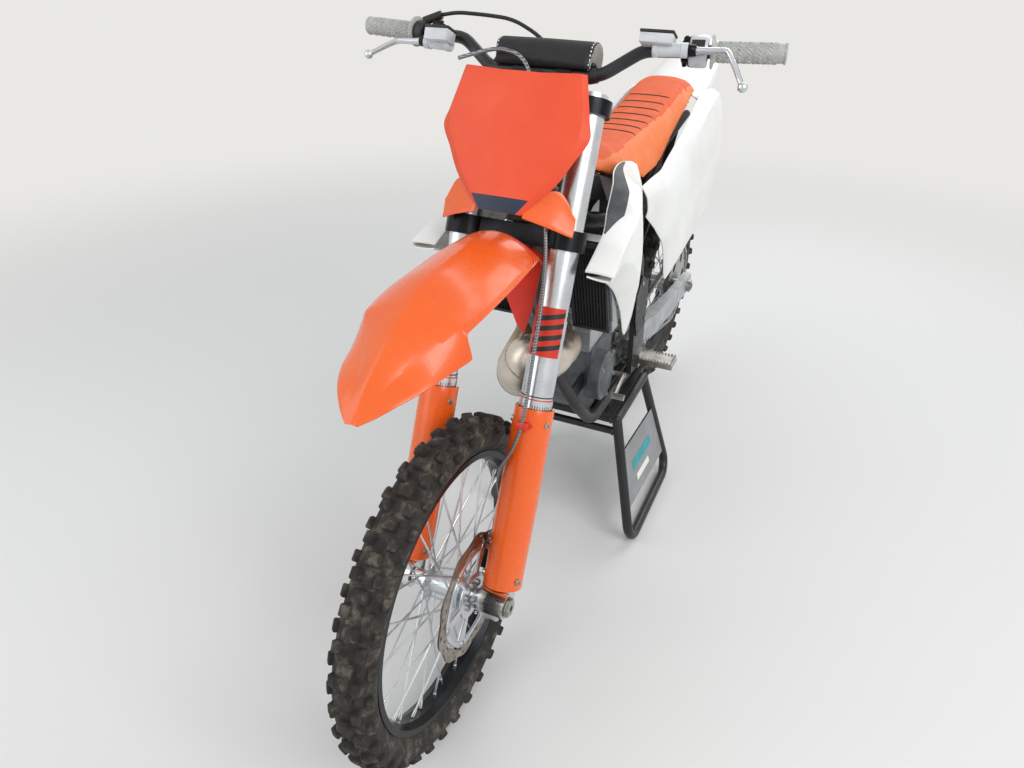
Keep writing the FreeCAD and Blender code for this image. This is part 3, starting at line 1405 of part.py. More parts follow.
# Paddock stand, in the floor's frame
top_z = stand_top - tray_thickness - stand_tube_radius
foot_z = stand_tube_radius
side_loop = [
    (stand_top_front, stand_top_half, top_z),
    (stand_foot_front, stand_foot_half, foot_z),
    (stand_foot_rear, stand_foot_half, foot_z),
    (stand_top_rear, stand_top_half, top_z),
]
side_loop = [tuple(float(value) for value in point) for point in side_loop]
loop_tube = tube("stand_loop", stand_tube_radius, side_loop, float(stand_bend))
stand_left = [
    loop_tube,
    rod("stand_rail", stand_tube_radius, side_loop[0], side_loop[3]),
    ball("stand_knuckle", stand_tube_radius, side_loop[0]),
    ball("stand_knuckle", stand_tube_radius, side_loop[3]),
]
stand_parts = []
for part in stand_left:
    stand_parts.append(part)
    stand_parts.append(mirrored(part))
for x in (stand_top_front, stand_top_rear):
    stand_parts.append(cylinder("stand_cross", stand_tube_radius, stand_top_half * 2,
                                (x, -stand_top_half, top_z), (0, 1, 0)))
stand_parts.append(box("stand_tray", (stand_top_rear - 12, -stand_top_half + 6, stand_top - tray_thickness - 4),
                       (stand_top_front + 12, stand_top_half - 6, stand_top)))


def on_loop(corner, foot, share):
    return tuple(a + (b - a) * share for a, b in zip(corner, foot))


# A second, thinner pair of bars under the tray
for corner, foot in ((side_loop[0], side_loop[1]), (side_loop[3], side_loop[2])):
    x, half, z = on_loop(corner, foot, 0.1)
    stand_parts.append(cylinder("stand_low_cross", 10, half * 2, (x, -half, z), (0, 1, 0)))

plate_corners = [
    on_loop(side_loop[0], side_loop[1], 0.27),
    on_loop(side_loop[0], side_loop[1], 0.74),
    on_loop(side_loop[3], side_loop[2], 0.8),
    on_loop(side_loop[3], side_loop[2], 0.32),
]
stand_plate = loft("stand_plate", [
    plate_corners,
    [(x, y + 3, z + 1) for x, y, z in plate_corners],
])
stand_parts.append(stand_plate)
stand_parts.append(mirrored(stand_plate))
node(fuse("stand_solid", stand_parts), "paddock_stand", ground)


# Check and write

doc.recompute()
failed = [obj.Name for obj in doc.Objects if "Invalid" in obj.State or "Error" in obj.State]
if failed:
    raise RuntimeError("failed: " + ", ".join(failed))
for obj in nodes:
    if obj.Shape.isNull() or not obj.Shape.isValid():
        raise RuntimeError(obj.Label + " has no valid shape")
os.makedirs("parts", exist_ok=True)
for obj in nodes:
    obj.Shape.exportStep(os.path.join("parts", obj.Label + ".step"))
for obj, radius in cords:
    spine = obj.Spine[0].Shape
    bends = [round(edge.Curve.Radius, 1) for edge in spine.Edges if edge.Curve.TypeId == "Part::GeomCircle"]
    swept = obj.Shape.Volume / (math.pi * radius * radius * spine.Length)
    print(obj.Name, "length", round(spine.Length), "bends", bends, "volume share", round(swept, 3))
print(len(nodes), "nodes", sum(len(obj.Shape.Solids) for obj in nodes), "solids")
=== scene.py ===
import random
from math import atan2, cos, hypot, pi, radians, sin

import bpy
from mathutils import Matrix, Vector


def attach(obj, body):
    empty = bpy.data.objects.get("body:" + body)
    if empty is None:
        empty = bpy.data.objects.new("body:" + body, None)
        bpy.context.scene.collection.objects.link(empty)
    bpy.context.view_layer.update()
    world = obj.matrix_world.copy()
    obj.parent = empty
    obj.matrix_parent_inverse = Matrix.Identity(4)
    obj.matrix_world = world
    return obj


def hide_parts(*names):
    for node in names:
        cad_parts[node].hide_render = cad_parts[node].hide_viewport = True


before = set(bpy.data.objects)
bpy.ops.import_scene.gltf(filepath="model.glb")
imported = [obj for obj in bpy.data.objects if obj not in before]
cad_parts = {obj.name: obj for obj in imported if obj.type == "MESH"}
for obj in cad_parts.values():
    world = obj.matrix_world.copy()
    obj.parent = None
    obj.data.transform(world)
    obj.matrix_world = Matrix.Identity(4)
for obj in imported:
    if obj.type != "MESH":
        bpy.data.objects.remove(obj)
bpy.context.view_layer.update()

random.seed(7)

# sizes that the part's own source has, in millimetres and degrees
bikeLayout = {
    "frontAxle": (742.5, 346.0),
    "rearAxle": (-742.5, 340.0),
    "rake": 26.1,
    "axleOffset": 57.0,
    "noseDown": 2.72,
}


def millimetres(matrix):
    return Matrix.Scale(0.001, 4) @ matrix


def bikeFrame():
    axleX, axleZ = bikeLayout["frontAxle"]
    pivot = Matrix.Translation((axleX, 0, axleZ))
    return millimetres(pivot @ Matrix.Rotation(radians(bikeLayout["noseDown"]), 4, "Y") @ pivot.inverted())


def forkFrame():
    # x runs ahead of the steering axis, y across, z up along it
    axleX, axleZ = bikeLayout["frontAxle"]
    rake = radians(bikeLayout["rake"])
    offset = bikeLayout["axleOffset"]
    place = Matrix.Translation((axleX - offset * cos(rake), 0, axleZ - offset * sin(rake)))
    return bikeFrame() @ place @ Matrix.Rotation(-rake, 4, "Y")


def wheelFrame(axle):
    x, z = bikeLayout[axle]
    return bikeFrame() @ Matrix.Translation((x, 0, z))


bike = bikeFrame()
fork = forkFrame()
frontWheel = wheelFrame("frontAxle")
rearWheel = wheelFrame("rearAxle")
ground = millimetres(Matrix.Identity(4))

cameraSettings = {
    "place": (1.6763, 0.5515, 1.4514),
    "yaw": 204.08,
    "pitch": -31.0,
    "roll": 0.68,
    "focalPixels": 770.3,
    "imageWidth": 1024,
}
floorSettings = {"side": 60.0, "colour": "#E2E1DE", "far": "#E9E8E5", "nearRadius": 1.6, "farRadius": 4.5}
lightSettings = {
    "key": {"place": (1.9, 2.9, 3.1), "size": 2.4, "power": 88},
    "fill": {"place": (2.4, -2.2, 2.2), "size": 3.0, "power": 38},
    "back": {"place": (-2.6, 0.6, 2.8), "size": 2.6, "power": 48},
}


def makeCamera(settings):
    yaw = radians(settings["yaw"])
    pitch = radians(settings["pitch"])
    roll = radians(settings["roll"])
    forward = Vector((cos(pitch) * cos(yaw), cos(pitch) * sin(yaw), sin(pitch)))
    right = forward.cross(Vector((0, 0, 1))).normalized()
    up = right.cross(forward)
    tiltedRight = cos(roll) * right + sin(roll) * up
    tiltedUp = cos(roll) * up - sin(roll) * right
    turn = Matrix((tiltedRight, tiltedUp, -forward)).transposed().to_4x4()
    data = bpy.data.cameras.new("photoCamera")
    data.sensor_fit = "HORIZONTAL"
    data.sensor_width = 36.0
    data.lens = settings["focalPixels"] / settings["imageWidth"] * data.sensor_width
    data.clip_end = 200
    camera = bpy.data.objects.new("photoCamera", data)
    bpy.context.scene.collection.objects.link(camera)
    camera.matrix_world = Matrix.Translation(settings["place"]) @ turn
    bpy.context.scene.camera = camera


def makeLamp(name, settings):
    data = bpy.data.lights.new(name, "AREA")
    data.shape = "SQUARE"
    data.size = settings["size"]
    data.energy = settings["power"]
    lamp = bpy.data.objects.new(name, data)
    bpy.context.scene.collection.objects.link(lamp)
    place = Vector(settings["place"])
    aim = Vector((0.15, 0.0, 0.6)) - place
    lamp.matrix_world = Matrix.Translation(place) @ aim.to_track_quat("-Z", "Y").to_matrix().to_4x4()


def linearColour(hexCode):
    channels = [int(hexCode[i:i + 2], 16) / 255 for i in (1, 3, 5)]
    return tuple(c / 12.92 if c <= 0.04045 else ((c + 0.055) / 1.055) ** 2.4 for c in channels) + (1.0,)


def addNode(material, kind, settings, links=None):
    tree = material.node_tree
    node = tree.nodes.new("ShaderNode" + kind)
    for key, value in settings.items():
        if key == "stops":
            ramp = node.color_ramp.elements
            while len(ramp) < len(value):
                ramp.new(0.5)
            for element, (position, hexCode) in zip(ramp, value):
                element.position = position
                element.color = linearColour(hexCode)
        elif isinstance(key, str) and hasattr(node, key):
            setattr(node, key, value)
        else:
            node.inputs[key].default_value = value
    for socket, (source, output) in (links or {}).items():
        tree.links.new(source.outputs[output], node.inputs[socket])
    return node


def newMaterial(name):
    material = bpy.data.materials.new(name)
    material.use_nodes = True
    material.node_tree.nodes.clear()
    return material


def closeMaterial(material, shader):
    addNode(material, "OutputMaterial", {}, {"Surface": (shader, "BSDF")})
    return material


def mouldedPlastic(name, finish):
    # injection-moulded polypropylene: an even dye with a faint random tone, a low broad gloss and fine scuffs
    material = newMaterial(name)
    place = addNode(material, "TexCoord", {})
    cloud = addNode(material, "TexNoise",
                    {"Scale": 1000 / finish["cloudMm"], "Detail": 3.0, "Roughness": 0.55},
                    {"Vector": (place, "Object")})
    tone = addNode(material, "ValToRGB", {"stops": [(0.3, finish["dark"]), (0.55, finish["colour"]),
                                                    (0.8, finish["light"])]}, {"Fac": (cloud, "Fac")})
    scuff = addNode(material, "TexNoise",
                    {"Scale": 1000 / finish["scuffMm"], "Detail": 6.0, "Distortion": 1.5},
                    {"Vector": (place, "Object")})
    gloss = addNode(material, "MapRange", {"From Min": 0.35, "From Max": 0.75, "To Min": finish["gloss"],
                                           "To Max": finish["gloss"] + finish["scuff"]},
                    {"Value": (scuff, "Fac")})
    grain = addNode(material, "TexNoise", {"Scale": 1000 / finish["grainMm"], "Detail": 2.0},
                    {"Vector": (place, "Object")})
    bump = addNode(material, "Bump", {"Strength": finish["grain"], "Distance": 0.0004},
                   {"Height": (grain, "Fac")})
    shader = addNode(material, "BsdfPrincipled", {"IOR": 1.49, "Coat Weight": finish.get("coat", 0.0),
                                                  "Coat Roughness": 0.08},
                     {"Base Color": (tone, "Color"), "Roughness": (gloss, "Result"),
                      "Normal": (bump, "Normal")})
    return closeMaterial(material, shader)


def metalFinish(name, finish):
    # bare or anodised metal: a coloured reflection, streaked by how it was worked, cloudier where handled
    material = newMaterial(name)
    place = addNode(material, "TexCoord", {})
    spread = addNode(material, "Mapping", {"Scale": finish.get("stretch", (1, 1, 1))},
                     {"Vector": (place, "Object")})
    streak = addNode(material, "TexNoise", {"Scale": 1000 / finish["streakMm"], "Detail": 4.0},
                     {"Vector": (spread, "Vector")})
    cloud = addNode(material, "TexNoise", {"Scale": 1000 / finish["cloudMm"], "Detail": 3.0},
                    {"Vector": (place, "Object")})
    tone = addNode(material, "ValToRGB", {"stops": [(0.3, finish["dark"]), (0.55, finish["colour"]),
                                                    (0.8, finish["light"])]}, {"Fac": (cloud, "Fac")})
    gloss = addNode(material, "MapRange", {"From Min": 0.3, "From Max": 0.7, "To Min": finish["rough"] - 0.06,
                                           "To Max": finish["rough"] + 0.1}, {"Value": (streak, "Fac")})
    bump = addNode(material, "Bump", {"Strength": finish["bump"], "Distance": 0.0003},
                   {"Height": (streak, "Fac")})
    shader = addNode(material, "BsdfPrincipled", {"Metallic": finish["metal"]},
                     {"Base Color": (tone, "Color"), "Roughness": (gloss, "Result"),
                      "Normal": (bump, "Normal")})
    return closeMaterial(material, shader)


def dustyRubber(name, finish):
    # vulcanised rubber: near black and matte, with dried earth caught in its grain
    material = newMaterial(name)
    place = addNode(material, "TexCoord", {})
    dust = addNode(material, "TexNoise", {"Scale": 1000 / finish["dustMm"], "Detail": 6.0, "Roughness": 0.65},
                   {"Vector": (place, "Object")})
    tone = addNode(material, "ValToRGB", {"stops": [(finish["clean"], finish["colour"]),
                                                    (finish["clean"] + 0.12, finish["worn"]),
                                                    (finish["clean"] + 0.3, finish["dust"])]},
                   {"Fac": (dust, "Fac")})
    grain = addNode(material, "TexNoise", {"Scale": 1000 / finish["grainMm"], "Detail": 3.0},
                    {"Vector": (place, "Object")})
    bump = addNode(material, "Bump", {"Strength": finish["grain"], "Distance": 0.0006},
                   {"Height": (grain, "Fac")})
    shader = addNode(material, "BsdfPrincipled", {"IOR": 1.5, "Roughness": finish["rough"]},
                     {"Base Color": (tone, "Color"), "Normal": (bump, "Normal")})
    return closeMaterial(material, shader)


plastics = {
    "orangePolypropylene": {"colour": "#F0621A", "dark": "#EC5B14", "light": "#F26A22", "gloss": 0.24,
                            "scuff": 0.16, "cloudMm": 160, "scuffMm": 22, "grainMm": 0.9, "grain": 0.05,
                            "coat": 0.25},
    "orangeVinyl": {"colour": "#E8502A", "dark": "#E44C27", "light": "#EC5833", "gloss": 0.5, "scuff": 0.1,
                    "cloudMm": 90, "scuffMm": 14, "grainMm": 0.8, "grain": 0.12},
    # red plastic of the trim and decor; on the fender's flap it is painted shade standing for the orange
    # fender in shade
    "redPlasticAndPaintedShade": {"colour": "#D5331B", "dark": "#C02A15", "light": "#DE4023", "gloss": 0.34,
                         "scuff": 0.14, "cloudMm": 90, "scuffMm": 18, "grainMm": 0.9, "grain": 0.08},
    "whitePolypropylene": {"colour": "#EFEFEC", "dark": "#E6E5E0", "light": "#F4F4F2", "gloss": 0.28,
                           "scuff": 0.16, "cloudMm": 140, "scuffMm": 20, "grainMm": 0.9, "grain": 0.05,
                           "coat": 0.2},
    "greyGrainedPlastic": {"colour": "#4A4C4F", "dark": "#3E4043", "light": "#5C5E61", "gloss": 0.6,
                           "scuff": 0.12, "cloudMm": 30, "scuffMm": 6, "grainMm": 1.6, "grain": 0.55},
    "blackNylon": {"colour": "#1B1B1D", "dark": "#141416", "light": "#28282A", "gloss": 0.42, "scuff": 0.2,
                   "cloudMm": 60, "scuffMm": 12, "grainMm": 1.0, "grain": 0.15},
    "blackPowderCoat": {"colour": "#1A1B1E", "dark": "#141517", "light": "#26272A", "gloss": 0.34,
                        "scuff": 0.16, "cloudMm": 90, "scuffMm": 15, "grainMm": 1.2, "grain": 0.14},
    "framePowderCoat": {"colour": "#2B2A2B", "dark": "#222122", "light": "#3A3837", "gloss": 0.36,
                        "scuff": 0.18, "cloudMm": 80, "scuffMm": 14, "grainMm": 1.2, "grain": 0.14},
    "plateSteel": {"colour": "#8F9091", "dark": "#828384", "light": "#9C9D9E", "gloss": 0.42, "scuff": 0.14,
                   "cloudMm": 70, "scuffMm": 12, "grainMm": 1.2, "grain": 0.14},
    "navyVinyl": {"colour": "#1E2A44", "dark": "#182238", "light": "#28365A", "gloss": 0.45, "scuff": 0.1,
                  "cloudMm": 60, "scuffMm": 10, "grainMm": 0.8, "grain": 0.1},
    "tealVinyl": {"colour": "#2A9BA6", "dark": "#238A94", "light": "#35A9B3", "gloss": 0.45, "scuff": 0.1,
                  "cloudMm": 60, "scuffMm": 10, "grainMm": 0.8, "grain": 0.1},
    # lighter orange for the seat's sides: a painted highlight, the same orange cover as lit
    "seatSidePaintedHighlight": {"colour": "#F07A3A", "dark": "#E97232", "light": "#F48548", "gloss": 0.5,
                       "scuff": 0.12, "cloudMm": 60, "scuffMm": 10, "grainMm": 1.2, "grain": 0.35},
    "greyPadEnd": {"colour": "#8E8B84", "dark": "#7E7B74", "light": "#9C9992", "gloss": 0.6, "scuff": 0.1,
                   "cloudMm": 20, "scuffMm": 5, "grainMm": 1.4, "grain": 0.4},
    "collarPlastic": {"colour": "#C9CCD0", "dark": "#BDC0C4", "light": "#D6D8DB", "gloss": 0.2, "scuff": 0.12,
                      "cloudMm": 40, "scuffMm": 8, "grainMm": 0.9, "grain": 0.05, "coat": 0.3},
    "orangeSeatCover": {"colour": "#E4602C", "dark": "#DF5925", "light": "#E86A38", "gloss": 0.68,
                        "scuff": 0.1, "cloudMm": 40, "scuffMm": 8, "grainMm": 1.1, "grain": 0.45},
    "blackPadCover": {"colour": "#17171A", "dark": "#101013", "light": "#222226", "gloss": 0.62,
                      "scuff": 0.12, "cloudMm": 30, "scuffMm": 6, "grainMm": 1.4, "grain": 0.4},
}
metals = {
    "castAluminium": {"colour": "#B9BCC0", "dark": "#A6A9AD", "light": "#C8CBCE", "metal": 1.0, "rough": 0.42,
                      "streakMm": 1.6, "cloudMm": 40, "bump": 0.3},
    "machinedAluminium": {"colour": "#D2D5D9", "dark": "#C2C6CB", "light": "#DDE0E3", "metal": 1.0,
                          "rough": 0.26, "streakMm": 2.0, "cloudMm": 60, "bump": 0.08, "stretch": (1, 6, 1)},
    "engineCastings": {"colour": "#6E7276", "dark": "#5C6064", "light": "#82868A", "metal": 0.8, "rough": 0.5,
                       "streakMm": 1.4, "cloudMm": 30, "bump": 0.4},
    "blackAnodised": {"colour": "#202124", "dark": "#18191B", "light": "#2E2F33", "metal": 0.85, "rough": 0.3,
                      "streakMm": 1.8, "cloudMm": 50, "bump": 0.1},
    "barePipeSteel": {"colour": "#AFA595", "dark": "#978B78", "light": "#C4BCB0", "metal": 0.95,
                      "rough": 0.34,
                      "streakMm": 3.0, "cloudMm": 70, "bump": 0.12},
    "hardChrome": {"colour": "#D8DADC", "dark": "#CDCFD2", "light": "#E0E2E4", "metal": 1.0, "rough": 0.1,
                   "streakMm": 2.0, "cloudMm": 80, "bump": 0.02},
    "zincSteel": {"colour": "#A9A8A3", "dark": "#8E8C86", "light": "#BDBCB8", "metal": 1.0, "rough": 0.32,
                  "streakMm": 1.5, "cloudMm": 25, "bump": 0.15},
    "brakeSteel": {"colour": "#9A9186", "dark": "#857B6F", "light": "#AEA69C", "metal": 1.0, "rough": 0.3,
                   "streakMm": 1.2, "cloudMm": 22, "bump": 0.12},
}
rubbers = {
    "treadRubber": {"colour": "#1F1D1B", "worn": "#34302B", "dust": "#6E665A", "clean": 0.42, "dustMm": 24,
                    "grainMm": 2.2, "grain": 0.5, "rough": 0.85},
    "blackRubber": {"colour": "#151516", "worn": "#1E1E1F", "dust": "#2C2B2A", "clean": 0.5, "dustMm": 15,
                    "grainMm": 1.2, "grain": 0.2, "rough": 0.62},
    "greyGripRubber": {"colour": "#A9A9A4", "worn": "#B5B5B0", "dust": "#C1C0BB", "clean": 0.4, "dustMm": 12,
                       "grainMm": 1.4, "grain": 0.3, "rough": 0.7},
}

finishes = {}
for name, finish in plastics.items():
    finishes[name] = mouldedPlastic(name, finish)
for name, finish in metals.items():
    finishes[name] = metalFinish(name, finish)
for name, finish in rubbers.items():
    finishes[name] = dustyRubber(name, finish)

# which finish each CAD node shows
nodeFinishes = {
    "frame": "framePowderCoat", "subframe_airbox": "blackNylon", "engine_cases": "engineCastings",
    "cylinder": "castAluminium", "exhaust_chamber": "barePipeSteel", "silencer": "machinedAluminium",
    "radiators": "castAluminium", "radiator_louvres": "blackNylon", "shrouds": "whitePolypropylene",
    "tank": "blackNylon", "seat": "orangeSeatCover", "side_panels": "whitePolypropylene",
    "rear_fender": "whitePolypropylene", "frame_guards": "blackNylon", "swingarm": "castAluminium",
    "rear_shock": "zincSteel", "chain": "zincSteel", "foot_controls": "zincSteel",
    "rear_brake": "blackAnodised", "rear_axle": "zincSteel", "paddock_stand": "blackPowderCoat",
    "fork_tubes": "machinedAluminium", "fork_lowers": "hardChrome", "fork_guards": "orangePolypropylene",
    "lower_clamp": "blackAnodised", "top_clamp": "blackAnodised", "front_axle": "zincSteel",
    "handlebar": "blackPowderCoat", "grips": "greyGripRubber", "bar_pad": "blackPadCover",
    "hand_controls": "machinedAluminium", "throttle_cable": "blackRubber", "number_plate": "orangeVinyl",
    "front_fender": "orangePolypropylene", "front_caliper": "blackAnodised", "brake_hose": "blackRubber",
    "front_tyre": "treadRubber", "front_rim": "blackAnodised", "front_hub": "machinedAluminium",
    "front_disc": "brakeSteel", "rear_tyre": "treadRubber", "rear_rim": "blackAnodised",
    "rear_hub": "machinedAluminium", "rear_disc": "brakeSteel", "rear_sprocket": "zincSteel",
}


def dressNode(name, finish):
    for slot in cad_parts[name].material_slots:
        slot.material = finishes[finish]


for name, finish in nodeFinishes.items():
    dressNode(name, finish)

makeCamera(cameraSettings)
bpy.context.scene.view_settings.view_transform = "Standard"
for name, settings in lightSettings.items():
    makeLamp(name, settings)

bpy.ops.mesh.primitive_plane_add(size=floorSettings["side"], location=(0, 0, 0))
floor = bpy.context.object
floor.name = "floor"
floorMaterial = newMaterial("paleFloor")
floorShader = addNode(floorMaterial, "BsdfPrincipled", {"Base Color": linearColour(floorSettings["colour"]),
                                                        "Roughness": 0.9})
# away from the bike the floor runs into an even pale backdrop, for the camera and in reflections
floorPlace = addNode(floorMaterial, "TexCoord", {})
floorReach = addNode(floorMaterial, "VectorMath", {"operation": "LENGTH"}, {0: (floorPlace, "Object")})
floorFade = addNode(floorMaterial, "MapRange", {"interpolation_type": "SMOOTHSTEP",
                                                "From Min": floorSettings["nearRadius"],
                                                "From Max": floorSettings["farRadius"]},
                    {"Value": (floorReach, "Value")})
rays = addNode(floorMaterial, "LightPath", {})
seen = addNode(floorMaterial, "Math", {"operation": "MAXIMUM"},
               {0: (rays, "Is Camera Ray"), 1: (rays, "Is Glossy Ray")})
seenThrough = addNode(floorMaterial, "Math", {"operation": "MAXIMUM"},
                      {0: (seen, "Value"), 1: (rays, "Is Transmission Ray")})
fade = addNode(floorMaterial, "Math", {"operation": "MULTIPLY"},
               {0: (floorFade, "Result"), 1: (seenThrough, "Value")})
glow = addNode(floorMaterial, "Emission", {"Color": linearColour(floorSettings["far"]), "Strength": 1.0})
floorMix = addNode(floorMaterial, "MixShader", {},
                   {"Fac": (fade, "Value"), 1: (floorShader, "BSDF"), 2: (glow, "Emission")})
addNode(floorMaterial, "OutputMaterial", {}, {"Surface": (floorMix, "Shader")})
floor.data.materials.append(floorMaterial)

world = bpy.data.worlds.new("studio")
bpy.context.scene.world = world
world.use_nodes = True
world.node_tree.nodes.clear()
skyLight = addNode(world, "Background", {"Color": (0.9, 0.95, 1.0, 1.0), "Strength": 0.55})
backdrop = addNode(world, "Background", {"Color": linearColour(floorSettings["far"]), "Strength": 1.0})
skyRays = addNode(world, "LightPath", {})
skySeen = addNode(world, "Math", {"operation": "MAXIMUM"},
                  {0: (skyRays, "Is Camera Ray"), 1: (skyRays, "Is Glossy Ray")})
skyThrough = addNode(world, "Math", {"operation": "MAXIMUM"},
                     {0: (skySeen, "Value"), 1: (skyRays, "Is Transmission Ray")})
skyMix = addNode(world, "MixShader", {},
                 {"Fac": (skyThrough, "Value"), 1: (skyLight, "Background"), 2: (backdrop, "Background")})
addNode(world, "OutputWorld", {}, {"Surface": (skyMix, "Shader")})
print("stage, light and finishes done")


def clearSelection():
    if bpy.context.object and bpy.context.object.mode != "OBJECT":
        bpy.ops.object.mode_set(mode="OBJECT")
    bpy.ops.object.select_all(action="DESELECT")


def pick(*pieces):
    clearSelection()
    for piece in pieces:
        piece.select_set(True)
    bpy.context.view_layer.objects.active = pieces[0]


def begin(shape, name, **settings):
    # a new primitive, alone in the selection
    clearSelection()
    getattr(bpy.ops.mesh, "primitive_" + shape + "_add")(**settings)
    piece = bpy.context.object
    piece.name = name
    return piece


def modify(piece, kind, **settings):
    pick(piece)
    modifier = piece.modifiers.new(kind, kind)
    for key, value in settings.items():
        setattr(modifier, key, value)
    bpy.ops.object.modifier_apply(modifier=modifier.name)


def editFaces(piece, test, *steps):
    # selects the faces that pass the test, then runs edit-mode operators on them
    pick(piece)
    bpy.ops.object.mode_set(mode="EDIT")
    bpy.ops.mesh.select_mode(type="FACE")
    bpy.ops.mesh.select_all(action="DESELECT")
    bpy.ops.object.mode_set(mode="OBJECT")
    for face in piece.data.polygons:
        face.select = test(face)
    bpy.ops.object.mode_set(mode="EDIT")
    for operator, settings in steps:
        getattr(bpy.ops.mesh, operator)(**settings)
    bpy.ops.object.mode_set(mode="OBJECT")


def smooth(piece, angle=35):
    pick(piece)
    bpy.ops.object.shade_smooth_by_angle(angle=radians(angle))


def place(piece, matrix):
    # turns a piece drawn in a frame's millimetres into its own place in the mesh
    piece.data.transform(matrix @ piece.matrix_world)
    piece.matrix_world = Matrix.Identity(4)
    piece.data.update()
    return piece


def copied(piece, name, matrix):
    twin = piece.copy()
    twin.data = piece.data.copy()
    twin.name = name
    bpy.context.scene.collection.objects.link(twin)
    twin.data.transform(matrix @ twin.matrix_world)
    twin.matrix_world = Matrix.Identity(4)
    if matrix.determinant() < 0:
        twin.data.flip_normals()
    return twin


def joined(name, pieces):
    pick(*pieces)
    bpy.ops.object.join()
    pieces[0].name = name
    return pieces[0]


def block(name, size, spot=(0, 0, 0), bevel=1.5, segments=2):
    # block with rounded edges, its middle at the spot
    piece = begin("cube", name, size=1, scale=size)
    place(piece, Matrix.Identity(4))
    modify(piece, "BEVEL", width=bevel, segments=segments, limit_method="ANGLE", angle_limit=radians(30))
    return place(piece, Matrix.Translation(spot))


acrossMiddle = Matrix.Scale(-1, 4, (0, 1, 0))


def withTwin(piece):
    # adds the same piece on the other side of the middle plane, still in the drawing's frame
    place(piece, Matrix.Identity(4))
    return joined(piece.name, [piece, copied(piece, piece.name + "Twin", acrossMiddle)])


def dress(piece, finish, body, *replaced):
    # finish, body and the CAD nodes that the piece stands for
    if not piece.data.materials:
        piece.data.materials.append(finishes[finish])
    piece.data.materials[0] = finishes[finish]
    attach(piece, body)
    if replaced:
        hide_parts(*replaced)
    return piece


def paint(piece, finish, test):
    # gives the faces that pass the test a second finish
    if not piece.data.materials:
        piece.data.materials.append(None)
    piece.data.materials.append(finishes[finish])
    index = len(piece.data.materials) - 1
    for face in piece.data.polygons:
        if test(face):
            face.material_index = index


def smoothBetween(values, t):
    # value at t along evenly numbered values, without overshoot between them
    last = len(values) - 1
    i = max(0, min(int(t), last - 1))
    s = t - i
    steps = [b - a for a, b in zip(values, values[1:])]

    def slope(k):
        if k <= 0 or k >= last:
            return steps[0] if k <= 0 else steps[-1]
        before, after = steps[k - 1], steps[k]
        return 0.0 if before * after <= 0 else 2 * before * after / (before + after)

    return ((2 * s ** 3 - 3 * s ** 2 + 1) * values[i] + (s ** 3 - 2 * s ** 2 + s) * slope(i)
            + (3 * s ** 2 - 2 * s ** 3) * values[i + 1] + (s ** 3 - s ** 2) * slope(i + 1))


def surfaceOf(rows, crown=0.0, along=(1, 0, 0)):
    # point of a moulded skin: u runs along its rows, v across its columns, both from 0 to 1
    axis = Vector(along)

    def point(u, v):
        t = u * (len(rows) - 1)
        across = v * (len(rows[0]) - 1)
        column = min(int(across), len(rows[0]) - 2)
        share = across - column
        ends = [Vector([smoothBetween([row[c][k] for row in rows], t) for k in range(3)])
                for c in (column, column + 1)]
        spot = ends[0].lerp(ends[1], share)
        return spot + axis.cross(ends[1] - ends[0]) * crown * 4 * share * (1 - share)

    return point


def sheetOf(name, point, uSteps, vSteps):
    # grid whose vertices are carried to a surface
    piece = begin("grid", name, x_subdivisions=uSteps, y_subdivisions=vSteps, size=1)
    for vertex in piece.data.vertices:
        vertex.co = point(vertex.co.x + 0.5, vertex.co.y + 0.5)
    piece.data.update()
    return piece


def strip(name, point, corners, steps, lift=0.35):
    # thin piece laid on a surface between two (u, v) lines, each a start and an end
    (a, b), (c, d) = corners

    def onSurface(u, v):
        start = (a[0] + (b[0] - a[0]) * u, a[1] + (b[1] - a[1]) * u)
        end = (c[0] + (d[0] - c[0]) * u, c[1] + (d[1] - c[1]) * u)
        at = (start[0] + (end[0] - start[0]) * v, start[1] + (end[1] - start[1]) * v)
        here = point(*at)
        du = point(min(at[0] + 0.004, 1), at[1]) - point(max(at[0] - 0.004, 0), at[1])
        dv = point(at[0], min(at[1] + 0.004, 1)) - point(at[0], max(at[1] - 0.004, 0))
        return here + du.cross(dv).normalized() * lift

    return sheetOf(name, onSurface, *steps)


def skin(piece, wall, edge=1.2, angle=18):
    # moulded wall thickness behind a sheet, with its edges rounded
    modify(piece, "SOLIDIFY", thickness=wall, offset=-1.0, use_even_offset=True)
    if edge:
        modify(piece, "BEVEL", width=edge, segments=2, limit_method="ANGLE", angle_limit=radians(angle))
    smooth(piece, 28)
    return piece

# front fender: x, height of the middle, then (across, height) out to the edge
fenderShape = {
    "rows": (
        (430, 926, (28, 922), (62, 912), (66, 902)),
        (500, 984, (30, 978), (76, 948), (82, 938)),
        (600, 996, (28, 989), (84, 951), (88, 941)),
        (700, 997, (27, 990), (86, 952), (90, 942)),
        (770, 982, (25, 975), (80, 950), (88, 941)),
        (778, 979, (25, 972), (79, 949), (98, 905)),
        (820, 962, (22, 955), (60, 935), (86, 902)),
        (866, 936, (18, 930), (36, 918), (72, 899)),
        (905, 912, (13, 908), (22, 904), (52, 893)),
        (936, 890, (8, 888), (12, 887), (27, 881)),
        (952, 877, (3, 876), (6, 876), (10, 875)),
    ),
    "wall": 3.2,
    "crown": 0.035,
    "flap": ((0, 572), (33, 521), (51, 506), (59, 567), (63, 650), (50, 662)),
}


def crownedRows(rows):
    full = []
    for x, middle, *side in rows:
        line = [(-a, b) for a, b in side[::-1]] + [(0, middle)] + list(side)
        full.append([(x, a, b) for a, b in line])
    return full


